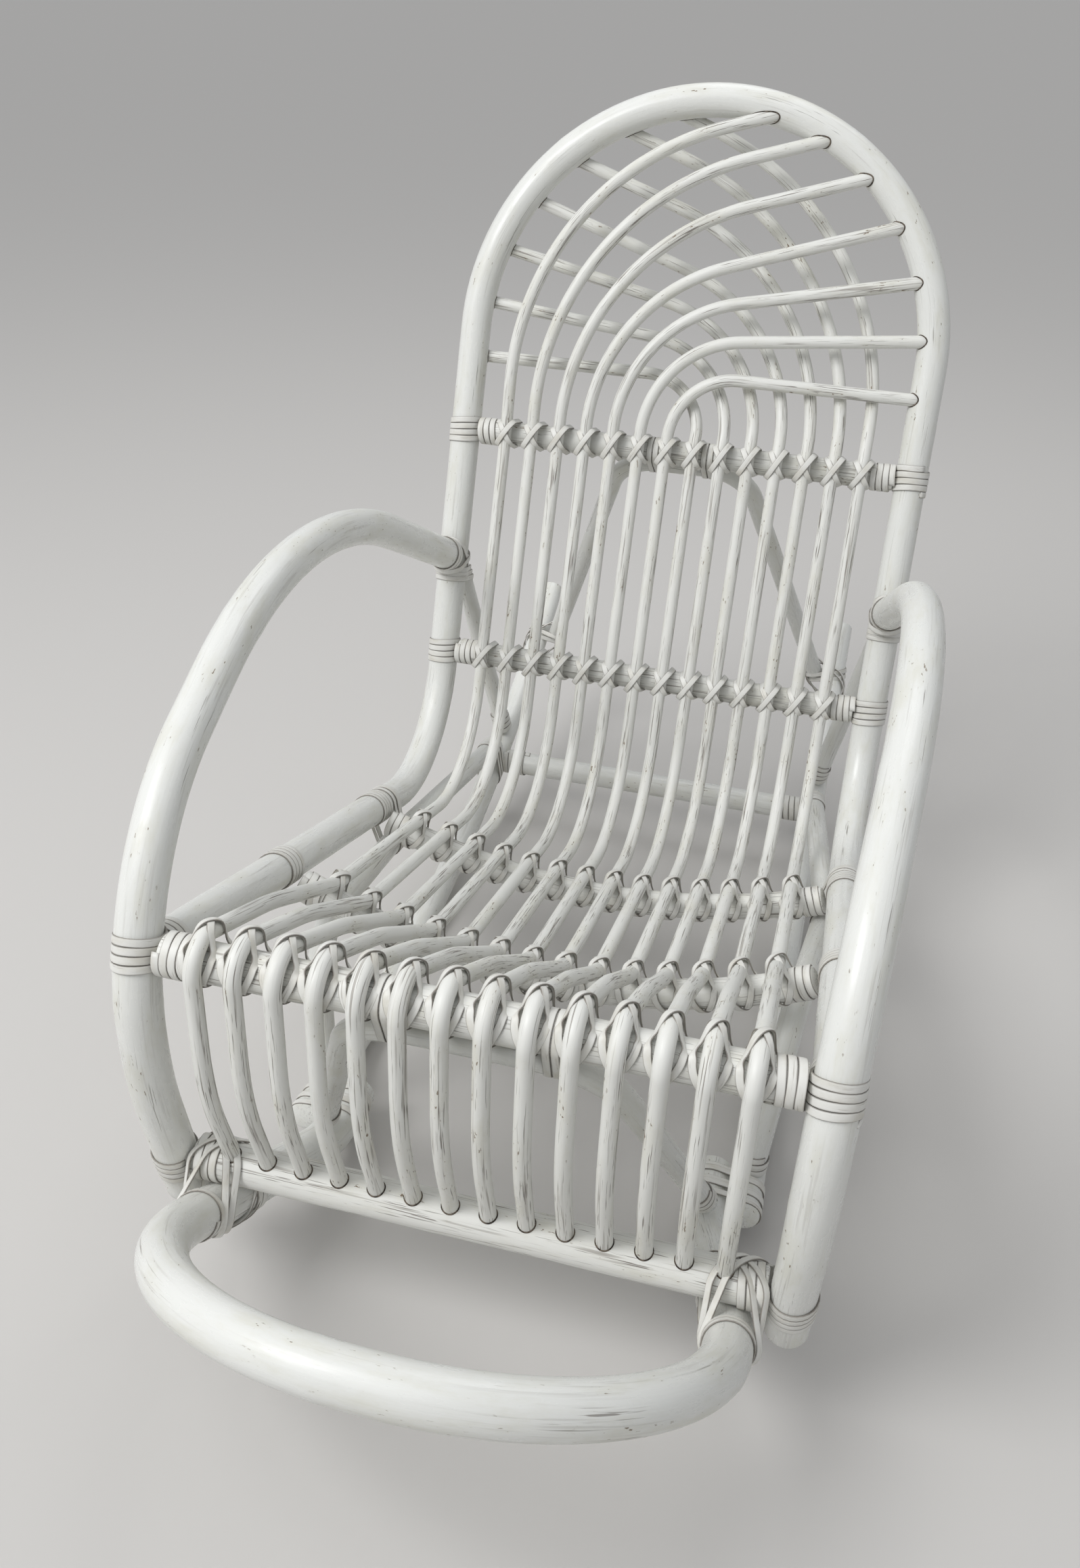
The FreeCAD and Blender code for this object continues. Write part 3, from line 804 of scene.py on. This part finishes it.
# The back's plane and the seat's slope
back_lean = math.radians(BACK_LEAN)
back_up = Vector((0, math.cos(back_lean), math.sin(back_lean)))
back_front = Vector((0, -math.sin(back_lean), math.cos(back_lean)))
back_foot = at(0, *BACK_FOOT)
seat_slope = math.radians(SEAT_SLOPE)
seat_run = Vector((0, math.cos(seat_slope), -math.sin(seat_slope)))


def back(x, rise, front=0.0):
    return back_foot + X * x + back_up * rise + back_front * front


# Arms
arm_places = [back(0, JOINT, HOOP_R + BAND + ARM_SET * ARM_R)]
arm_places += [at(0, *corner) for corner in ARM_CORNERS]
arm_paths = {}
for side, word in SIDES:
    places = [p + X * (side * HALF) for p in arm_places]
    places[1] = places[1] + X * (side * ARM_BOW)
    arm_paths[side] = route(places, ARM_BENDS, FINE_STEP)
    pole("arm_pole_" + word, "arm_" + word, arm_paths[side], ARM_R, AROUND_THICK)
arm_path = [p - X * HALF for p in arm_paths[1]]


def arm_at(height):
    # The place at a height on the front part of the arm, in the middle plane
    best = None
    for one, two in zip(arm_path, arm_path[1:]):
        if (one.z - height) * (two.z - height) <= 0 and two.y < ARM_FRONT_Y - SHIFT:
            best = one.lerp(two, (height - one.z) / (two.z - one.z))
    return Vector((0, best.y, best.z))


# Back hoop
seat_start = arm_at(SEAT_START_Z) + seat_run * (ARM_R + BAND)
seat_length = (back_foot - seat_start).dot(back_front) / seat_run.dot(back_front)
seat_corner = seat_start + seat_run * seat_length
side_path = route(
    [seat_start - X * HALF, seat_corner - X * HALF, back(-HALF, ARCH_RISE)], [SEAT_BEND]
)
arch_path = arc(back(-HALF, ARCH_RISE), back(0, ARCH_RISE + HALF), back(HALF, ARCH_RISE))
side_paths = {-1: side_path, 1: mirrored(side_path)}
hoop_path = side_path + arch_path[1:] + side_paths[1][1:]
pole("hoop_pole", "back_hoop", hoop_path, HOOP_R, AROUND_THICK)

# Cross rails
rail_end = HALF - HOOP_R - BAND
front_end = HALF - ARM_R - BAND
bottom_place = at(0, *BOTTOM_RAIL)
front_place = at(0, *FRONT_RAIL)


def straight(name, node, place, reach, radius, material):
    path = route([place - X * reach, place + X * reach], [])
    pole(name, node, path, radius, AROUND_RAIL, material)


straight("bottom_rail", "front_bottom_rail", bottom_place, front_end, BOTTOM_R, THIN)
straight("front_rail", "front_seat_rail", front_place, front_end, FRONT_R, THIN)
straight("lower_rail", "lower_back_rail", back(0, LOWER), rail_end, RAIL_R, THIN)
straight("upper_rail", "upper_back_rail", back(0, UPPER), rail_end, RAIL_R, THIN)


class SagRail:
    # A seat rail that hangs in an arc between the two seat sides
    def __init__(self, name, node, y, z, sag):
        self.y = y
        self.bow = (rail_end * rail_end + sag * sag) / (2 * sag)
        self.low = z - sag
        path = arc(at(-rail_end, y, z), at(0, y, self.low), at(rail_end, y, z), FINE_STEP)
        pole(name, node, path, RAIL_R, AROUND_SAG, THIN)

    def place(self, x):
        return at(x, self.y, self.low + self.bow - math.sqrt(self.bow * self.bow - x * x))

    def axis(self, x):
        tilt = math.asin(x / self.bow)
        return Vector((math.cos(tilt), 0, math.sin(tilt)))

    def spindle_place(self, x):
        # The middle of a spindle that lies on the rail along the seat's slope
        tilt = math.asin(x / self.bow)
        need = RAIL_R + SPINDLE_R + GAP
        reach = math.hypot(math.cos(seat_slope) * math.sin(tilt), math.cos(tilt))
        return self.place(x) + Z * (need * reach / (math.cos(seat_slope) * math.cos(tilt)))


middle_rail = SagRail("middle_rail", "middle_seat_rail", *MIDDLE_RAIL)
rear_rail = SagRail("rear_rail", "rear_seat_rail", *REAR_RAIL)

# Spindles
front_wrap = FRONT_R + SPINDLE_R + GAP
back_wrap = RAIL_R + SPINDLE_R + GAP


def tangent_side(point, centre, radius, turn):
    # Where a line from point touches the circle round centre, in the side view
    away = Vector((0, point.y - centre.y, point.z - centre.z))
    swing = math.acos(radius / away.length) * turn
    way = away.normalized()
    return Vector((
        point.x,
        centre.y + (way.y * math.cos(swing) - way.z * math.sin(swing)) * radius,
        centre.z + (way.y * math.sin(swing) + way.z * math.cos(swing)) * radius,
    ))


def crossing(first, second, third, fourth):
    # Where two lines cross in the side view
    one = second - first
    two = fourth - third
    across = one.y * two.z - one.z * two.y
    return first + one * (((third.y - first.y) * two.z - (third.z - first.z) * two.y) / across)


def in_bottom_rail(point):
    return math.hypot(point.y - bottom_place.y, point.z - bottom_place.z) - BOTTOM_R


def in_hoop(point):
    spot = point - back_foot
    rise = spot.dot(back_up)
    away = abs(spot.x) if rise < ARCH_RISE else math.hypot(spot.x, rise - ARCH_RISE)
    return math.hypot(away - HALF, spot.dot(back_front)) - HOOP_R


def hole_edge(path, depth):
    # The line where a cane's surface goes into another pole, found along the cane's last stretch
    tangents, sides = frames(path)
    edge = []
    for step in range(RIM_STEPS):
        angle = TURN * step / RIM_STEPS
        spokes = [
            side * math.cos(angle) + tangent.cross(side) * math.sin(angle)
            for side, tangent in zip(sides, tangents)
        ]
        found = (path[-1] + spokes[-1] * (SPINDLE_R - RIM_FALLBACK), spokes[-1])
        for index in range(max(0, len(path) - RIM_SEARCH), len(path) - 1):
            one = path[index] + spokes[index] * SPINDLE_R
            two = path[index + 1] + spokes[index] * SPINDLE_R
            if depth(one) > 0 >= depth(two):
                for _ in range(RIM_HALVINGS):
                    middle = (one + two) / 2
                    if depth(middle) > 0:
                        one = middle
                    else:
                        two = middle
                found = (one, spokes[index])
                break
        edge.append(found)
    return edge


rims = []
spindle_marks = []
for index in range(SPINDLES):
    x = (index - (SPINDLES - 1) / 2) * PITCH
    # Up from its hole, over the front rail, along the seat and up the back
    foot = bottom_place + X * x
    belly = at(x, *BELLY)
    begin = foot + (belly - foot).normalized() * (BOTTOM_R - HOLE_DEPTH + GAP)
    mid_place = middle_rail.spindle_place(x)
    rear_place = rear_rail.spindle_place(x)
    low_touch = tangent_side(belly, front_place, front_wrap, -1)
    hump = tangent_side(mid_place, front_place, front_wrap, 1).lerp(mid_place, HUMP_SHARE)
    hump = hump + Z * random.uniform(*HUMP_RISES)
    top_touch = tangent_side(hump, front_place, front_wrap, 1)
    over_front = crossing(belly, low_touch, hump, top_touch)
    back_low = back(x, LOWER, back_wrap)
    under_back = crossing(mid_place, rear_place, back_low, back(x, UPPER, back_wrap))
    seat_turn = (mid_place - hump).angle(under_back - mid_place)
    settle = mid_place - Z * (MIDDLE_BEND * (1 / math.cos(seat_turn / 2) - 1))
    # Across the arch into the hoop: the left half in front, the right half behind
    ahead = index < FAN
    order = FAN - 1 - index if ahead else index - FAN
    side = 1 if ahead else -1
    angle = math.radians(FAN_FIRST + FAN_SPAN * order / (FAN - 1))
    tip = math.radians(FAN_TIP * min(1.0, order / FAN_LEVEL))
    sink = HALF - FAN_SINK * HOOP_R
    end_x = side * sink * math.cos(angle)
    end_rise = ARCH_RISE + sink * math.sin(angle)
    leave_rise = UPPER + SPINDLE_R + LEAVE_ROOM
    peak = end_rise - abs(end_x - x) * math.tan(tip)
    fan_lean = math.radians(FAN_FRONT_LEAN if ahead else -FAN_REAR_LEAN)
    leave = back(x, leave_rise, back_wrap)
    summit = back(x, peak, back_wrap + (peak - leave_rise) * math.tan(fan_lean))
    fan_end = back(end_x, end_rise, side * FAN_APART)
    lean_turn = (summit - leave).angle(back_up)
    fan_turn = (summit - leave).angle(fan_end - summit)
    straight_run = (summit - leave).length - LEAVE_BEND * math.tan(lean_turn / 2)
    room = min((fan_end - summit).length, straight_run)
    fan_bend = min(FAN_BEND, FAN_SHARE * room / math.tan(fan_turn / 2))
    points = [begin, belly, over_front, hump, settle, under_back, leave, summit, fan_end]
    bends = [BELLY_BEND, front_wrap, HUMP_BEND, MIDDLE_BEND, BACK_BEND, LEAVE_BEND, fan_bend]
    path = route(points, bends, SPINDLE_STEP)
    number = "%02d" % (index + 1)
    pole(
        "spindle_cane_" + number, "spindle_" + number, path, SPINDLE_R, AROUND_SPINDLE, THIN
    )
    rims.append(hole_edge(path[::-1], in_bottom_rail))
    rims.append(hole_edge(path, in_hoop))
    spindle_marks.append((x, top_touch))

# Dark rims of painted shade where the spindles go into their holes
verts = []
faces = []
for edge in rims:
    first = len(verts)
    count = len(edge)
    for index, (point, away) in enumerate(edge):
        line = (edge[(index + 1) % count][0] - edge[index - 1][0]).normalized()
        lift = line.cross(away).normalized()
        for step in range(RIM_SIDES):
            angle = TURN * step / RIM_SIDES
            across = RIM_R * math.cos(angle) + RIM_OUT
            verts.append(point + away * across + lift * (RIM_R * math.sin(angle)))
    for a, b, c, d in skin(count, RIM_SIDES, True):
        faces.append((first + a, first + d, first + c, first + b))
finish_mesh("hole_rims", verts, faces, CREVICE_SHADE)


# Runners, front loop and the poles of the base
def runner_z(y):
    return RUNNER_R + ROCKER - math.sqrt(ROCKER * ROCKER - (y - LOW_Y) ** 2)


def on_runner(side, y, lift=0.0):
    return at(side * RUNNER_X, y, runner_z(y) + lift)


for side, word in SIDES:
    lowest = at(side * RUNNER_X, LOW_Y, RUNNER_R)
    path = arc(on_runner(side, RUNNER_FRONT), lowest, on_runner(side, RUNNER_REAR))
    pole("runner_pole_" + word, "runner_" + word, path, RUNNER_R, AROUND_RAIL)

leg_x = RUNNER_X - RUNNER_R - LOOP_R - GAP
loop_seat = math.radians(LOOP_SEAT)
loop_drop = BOTTOM_R + LOOP_R + LOOP_ROOM
left_leg = [
    at(-leg_x, *LOOP_END),
    at(-leg_x, *LOOP_HEEL),
    at(
        -LOOP_X,
        BOTTOM_RAIL[0] - loop_drop * math.cos(loop_seat),
        BOTTOM_RAIL[1] - loop_drop * math.sin(loop_seat),
    ),
    at(-LOOP_X, *LOOP_TOE),
]
loop_path = route(left_leg + mirrored(left_leg), LOOP_BENDS)
pole("loop_pole", "front_loop", loop_path, LOOP_R, AROUND_THICK)

bar_end = RUNNER_X - RUNNER_R - GAP
bar_place = at(0, BAR_Y, runner_z(BAR_Y))
straight("cross_bar", "rear_cross_bar", bar_place, bar_end, BAR_R, POLE)


def arch(name, node, foot, foot_x, head, head_x, bend):
    # An upturned U with its feet and its head set out the same to both sides
    corners = [foot - X * foot_x, head - X * head_x, head + X * head_x, foot + X * foot_x]
    pole(name, node, route(corners, [bend, bend], FINE_STEP), ARCH_R, AROUND_SLIM)


rear_head = back(0, UPPER - REAR_HEAD_DROP, -(RAIL_R + ARCH_R + 2 * BAND + GAP))
rear_foot = at(0, REAR_FOOT_Y, runner_z(REAR_FOOT_Y) + REAR_FOOT_LIFT)
rear_foot_x = RUNNER_X - RUNNER_R - ARCH_R - GAP
arch("rear_arch_pole", "rear_arch", rear_foot, rear_foot_x, rear_head, REAR_HEAD_X, REAR_BEND)

under_head = front_place + Vector((0, UNDER_HEAD_BACK, -(FRONT_R + ARCH_R + 2 * BAND + GAP)))
under_foot = at(0, UNDER_FOOT_Y, LOOP_HEEL[1] + LOOP_R + ARCH_R + UNDER_FOOT_ROOM)
arch("front_arch_pole", "front_arch", under_foot, leg_x, under_head, UNDER_HEAD_X, UNDER_BEND)

brace_lines = {}
for side, word in SIDES:
    top = back(side * HALF, JOINT - BRACE_DROP, -(HOOP_R + BRACE_R + BAND + GAP))
    foot = on_runner(side, BRACE_Y, RUNNER_R + GAP + BRACE_ROOM)
    brace_lines[side] = (foot, top)
    path = route([foot, top], [])
    pole("brace_pole_" + word, "diagonal_brace_" + word, path, BRACE_R, AROUND_SLIM)

bracket_paths = {}
knee_out, knee_y, knee_z = BRACKET_KNEE
corner_in, corner_y, corner_z = BRACKET_CORNER
for side, word in SIDES:
    points = [
        on_runner(side, BRACKET_TOE_Y, RUNNER_R + 2 * GAP),
        at(side * (RUNNER_X + knee_out), knee_y, knee_z),
        at(side * (HALF - corner_in), corner_y, corner_z),
        on_runner(side, BRACKET_HEEL_Y, RUNNER_R + BRACKET_R + BRACKET_ROOM),
    ]
    bracket_paths[side] = route(points, BRACKET_BENDS, FINE_STEP)
    pole("bracket_pole_" + word, "seat_bracket_" + word, bracket_paths[side], BRACKET_R, AROUND_SLIM)

# Lashings on the spindle crossings
for name, rise in (("lower", LOWER), ("upper", UPPER)):
    lash = Lashing("crossed_ties_" + name, "lashings_%s_back_rail" % name)
    for x, _ in spindle_marks:
        rail = (back(x, rise), X, RAIL_R)
        cane = (back(x, rise, back_wrap), back_up, SPINDLE_R)
        for turn, lift in CROSS_LIFTS:
            slant = X * (turn * random.uniform(*CROSS_SLANTS)) + back_up
            lash.tie(back(x, rise), slant.cross(back_front), [rail, cane], WIDE, lift, STRIP)
    lash.make()

for name, rail in (("middle", middle_rail), ("rear", rear_rail)):
    lash = Lashing("seat_ties_" + name, "lashings_%s_seat_rail" % name)
    for x, _ in spindle_marks:
        run = rail.axis(x)
        normal = run.cross(seat_run).normalized()
        offset = rail.spindle_place(x) - rail.place(x)
        share = run.dot(seat_run)
        along = (offset.dot(run) - share * offset.dot(seat_run)) / (1 - share * share)
        centre = rail.place(x) + run * along
        across = run.cross(normal).normalized()
        for turn, lift in SEAT_LIFTS:
            reach = random.uniform(*SEAT_REACHES)
            lash.saddle(centre, normal, run, across, RAIL_R, turn, reach, True, lift)
    lash.make()

lash = Lashing("seat_ties_front", "lashings_front_seat_rail")
for x, top_touch in spindle_marks:
    centre = front_place + X * x
    out = Vector((0, top_touch.y - centre.y, top_touch.z - centre.z)).normalized()
    way = out.cross(X).normalized()
    for turn, lift in FRONT_LIFTS:
        reach = random.uniform(*FRONT_REACHES)
        lash.saddle(centre, out, X, way, FRONT_R, turn, reach, False, lift)
lash.make()

# Lashings on the posts and rail ends
posts = Lashing(
    "post_wraps",
    "lashings_back_posts", "lashings_seat_posts", "lashings_front_corners", "lashings_arm_joints",
)
ends = Lashing("end_wraps", "lashings_rail_ends", "lashings_rear_joints")
arm_foot = arm_places[-1]
foot_way = (arm_foot - arm_places[-2]).normalized()
rail_z = FRONT_RAIL[1]
knee_way = (arm_at(rail_z + KNEE_REACH) - arm_at(rail_z - KNEE_REACH)).normalized()
for side, _ in SIDES:
    aside = X * (side * HALF)
    for rise in (LOWER, UPPER):
        posts.winding(back(side * HALF, rise), back_up, HOOP_R, POST_TURNS)
        ends.winding(back(side * (rail_end - RAIL_IN), rise), X, RAIL_R, RAIL_TURNS)
    for rail in (middle_rail, rear_rail):
        run = (at(0, rail.y, 0).y - seat_start.y) / seat_run.y
        posts.winding(seat_start + seat_run * run + aside, seat_run, HOOP_R, POST_TURNS)
        x = side * (rail_end - RAIL_IN)
        ends.winding(rail.place(x), rail.axis(x), RAIL_R, RAIL_TURNS)
    ends.winding(front_place + X * (side * (front_end - RAIL_IN)), X, FRONT_R, FRONT_TURNS)
    ends.winding(bottom_place + X * (side * (front_end - BOTTOM_IN)), X, BOTTOM_R, RAIL_TURNS)
    leg_share = (LEG_Z - arm_foot.z) / foot_way.z
    posts.winding(arm_foot + foot_way * leg_share + aside, foot_way, ARM_R, LEG_TURNS)
    posts.winding(arm_at(rail_z) + aside, knee_way, ARM_R, KNEE_TURNS)
    # The seat side's front end
    posts.winding(seat_start + seat_run * SEAT_END_IN + aside, seat_run, HOOP_R, SEAT_END_TURNS)
    # Arm end, tied to the upright with slanting strips
    joint = back(side * HALF, JOINT)
    path = arm_paths[side]
    arm_way = (path[0] - path[2]).normalized()
    meet = path[0] + arm_way * (joint - path[0]).dot(arm_way)
    tie_slope = math.radians(ARM_TIE_SLOPE)
    for turn, lift in ARM_TIE_LIFTS:
        rising = back_up * (turn * math.sin(tie_slope)) - arm_way * math.cos(tie_slope)
        ball = meet + rising * (ARM_R / math.sin(tie_slope) - ARM_BALL * ARM_R + lift)
        held = [(joint, back_up, HOOP_R), (ball, None, ARM_BALL * ARM_R + lift)]
        posts.tie(meet, rising.cross(X), held, WIDE, lift)
    posts.winding(path[0] - arm_way * ARM_END_IN, arm_way, ARM_R, ARM_END_TURNS)
    ends.winding(bar_place + X * (side * (bar_end - BAR_IN)), X, BAR_R, BAR_TURNS)
posts.make()
ends.make()

# Lashings where two poles of the base lie side by side
base = Lashing("base_ties")


def near(path, y):
    # The point of a path nearest to y, and the way there
    best = min(range(1, len(path) - 1), key=lambda i: abs(path[i].y - at(0, y, 0).y))
    return path[best], (path[best + 1] - path[best - 1]).normalized()


def bind(one, two, normal, width=MEDIUM):
    # A tie halfway between two poles, each a place, a way and a radius
    base.tie((one[0] + two[0]) / 2, normal, [one, two], width)


loop_halves = {-1: loop_path[: len(loop_path) // 2], 1: loop_path[len(loop_path) // 2:]}
for side, _ in SIDES:
    half_loop = loop_halves[side]
    # Runner and loop leg, bound together twice
    for y in LEG_TIE_YS:
        leg, leg_way = near(half_loop, y)
        bind((leg, leg_way, LOOP_R), (on_runner(side, y), Y, RUNNER_R), Y, WIDE)
    # Bottom rail and loop, bound over the corner
    leg, leg_way = near(half_loop, CORNER_Y)
    rail_spot = bottom_place + X * leg.x
    held = [(rail_spot, X, BOTTOM_R), (leg, leg_way, LOOP_R)]
    for turn, shift, lift in CORNER_TIES:
        normal = (X * CORNER_ACROSS + leg_way * (turn * CORNER_ALONG)).normalized()
        base.tie((rail_spot + leg) / 2 + normal * shift, normal, held, MEDIUM, lift)
    for y, turns in CORNER_WINDINGS:
        spot, way = near(half_loop, y)
        base.winding(spot, way, LOOP_R, turns)
    # Rear arch foot and runner tail, bound crosswise
    foot = rear_foot + X * (side * rear_foot_x)
    leg_way = (rear_head + X * (side * REAR_HEAD_X) - foot).normalized()
    leg = foot + leg_way * TAIL_IN
    tail_y = REAR_FOOT_Y + leg_way.y * TAIL_IN
    tail = on_runner(side, tail_y)
    tail_way = (on_runner(0, tail_y + TAIL_REACH) - on_runner(0, tail_y - TAIL_REACH)).normalized()
    held = [(leg, leg_way, ARCH_R), (tail, tail_way, RUNNER_R)]
    for turn, lift in TAIL_LIFTS:
        normal = leg_way + tail_way * turn
        for shift in TAIL_SHIFTS:
            spot = (leg + tail) / 2 + normal.normalized() * shift
            base.tie(spot, normal, held, NARROW, lift)
    # Brace and upright
    foot, top = brace_lines[side]
    way = (top - foot).normalized()
    for share in BRACE_SHARES:
        spot = foot.lerp(top, share)
        post = back(side * HALF, (spot - back_foot).dot(back_up))
        bind((spot, way, BRACE_R), (post, back_up, HOOP_R), back_up)
    # Seat corner and bracket
    seat_side = [p for p in side_paths[side] if p.z < SEAT_TOP_Z]
    for y in SEAT_TIE_YS:
        spot, bracket_way = near(bracket_paths[side], y)
        post = min(seat_side, key=lambda p: abs(p.y - at(0, y, 0).y))
        bind((spot, bracket_way, BRACKET_R), (post, seat_run, HOOP_R), SEAT_TIE_WAY)
    # Bracket end and runner, brace foot and runner
    for y in HEEL_TIE_YS:
        spot, bracket_way = near(bracket_paths[side], y)
        bind((spot, bracket_way, BRACKET_R), (on_runner(side, y), HEEL_RUNNER_WAY, RUNNER_R), HEEL_TIE_WAY)
    base.winding(foot + way * BRACE_FOOT_IN, way, BRACE_R, BRACE_FOOT_TURNS)
    toe = bracket_paths[side]
    base.winding(toe[1], (toe[2] - toe[0]).normalized(), BRACKET_R, BRACKET_TOE_TURNS)
    # Arch heads and the rails they hold up
    for shift in HEAD_SHIFTS:
        spot = X * (side * REAR_TIE_X + shift)
        held = [(rear_head + spot, X, ARCH_R), (back(0, UPPER) + spot, X, RAIL_R)]
        base.tie(rear_head + spot, X, held, MEDIUM)
        spot = X * (side * UNDER_TIE_X + shift)
        held = [(under_head + spot, X, ARCH_R), (front_place + spot, X, FRONT_R)]
        base.tie(under_head + spot, X, held, MEDIUM)
    foot = under_foot + X * (side * leg_x)
    way = (under_head + X * (side * UNDER_HEAD_X) - foot).normalized()
    base.winding(foot + way * UNDER_FOOT_IN, way, ARCH_R, UNDER_FOOT_TURNS)
base.make()

# Floor
corners = [(x * FLOOR_REACH, y * FLOOR_REACH, 0) for x, y in ((-1, -1), (1, -1), (1, 1), (-1, 1))]
floor_mesh = bpy.data.meshes.new("floor")
floor_mesh.from_pydata(corners, [], [(0, 1, 2, 3)])
floor = bpy.data.objects.new("floor", floor_mesh)
bpy.context.scene.collection.objects.link(floor)
floor_paint = Paint("floor_pale")
floor_paint.shader.inputs["Base Color"].default_value = FLOOR_PALE
floor_paint.shader.inputs["Roughness"].default_value = FLOOR_ROUGH
floor_mesh.materials.append(floor_paint.material)

# Light
scene = bpy.context.scene
world = bpy.data.worlds.new("studio")
scene.world = world
world.use_nodes = True
background = world.node_tree.nodes["Background"]
background.inputs["Color"].default_value = SKY
background.inputs["Strength"].default_value = SKY_STRENGTH


def add_light(name, kind, energy, way):
    data = bpy.data.lights.new(name, kind)
    data.energy = energy
    light = bpy.data.objects.new(name, data)
    light.rotation_euler = way.to_track_quat("-Z", "Y").to_euler()
    scene.collection.objects.link(light)
    return light


def lamp(name, place, target, size, power):
    light = add_light(name, "AREA", power, Vector(target) - Vector(place))
    light.data.shape = "DISK"
    light.data.size = size
    light.location = place


lamp("key", place=(-1.6, -1.6, 2.6), target=(0, 0.1, 0.4), size=1.5, power=48.0)
lamp("top", place=(0.2, 1.4, 2.8), target=(0, 0.3, 0.4), size=1.8, power=14.0)
sun = add_light("sky", "SUN", SUN_ENERGY, Vector(SUN_WAY))
sun.data.angle = math.radians(SUN_ANGLE)

# Camera
camera_data = bpy.data.cameras.new("camera")
camera = bpy.data.objects.new("camera", camera_data)
scene.collection.objects.link(camera)
camera_data.sensor_fit = "VERTICAL"
camera_data.sensor_height = SENSOR
camera_data.lens = FOCAL_PIXELS * SENSOR / PHOTO_TALL
turn = Matrix((CAMERA_RIGHT, -CAMERA_DOWN, -CAMERA_AHEAD)).transposed()
camera.matrix_world = Matrix.Translation(at(*CAMERA_PLACE) * MM) @ turn.to_4x4()
scene.camera = camera
scene.view_settings.view_transform = "Standard"
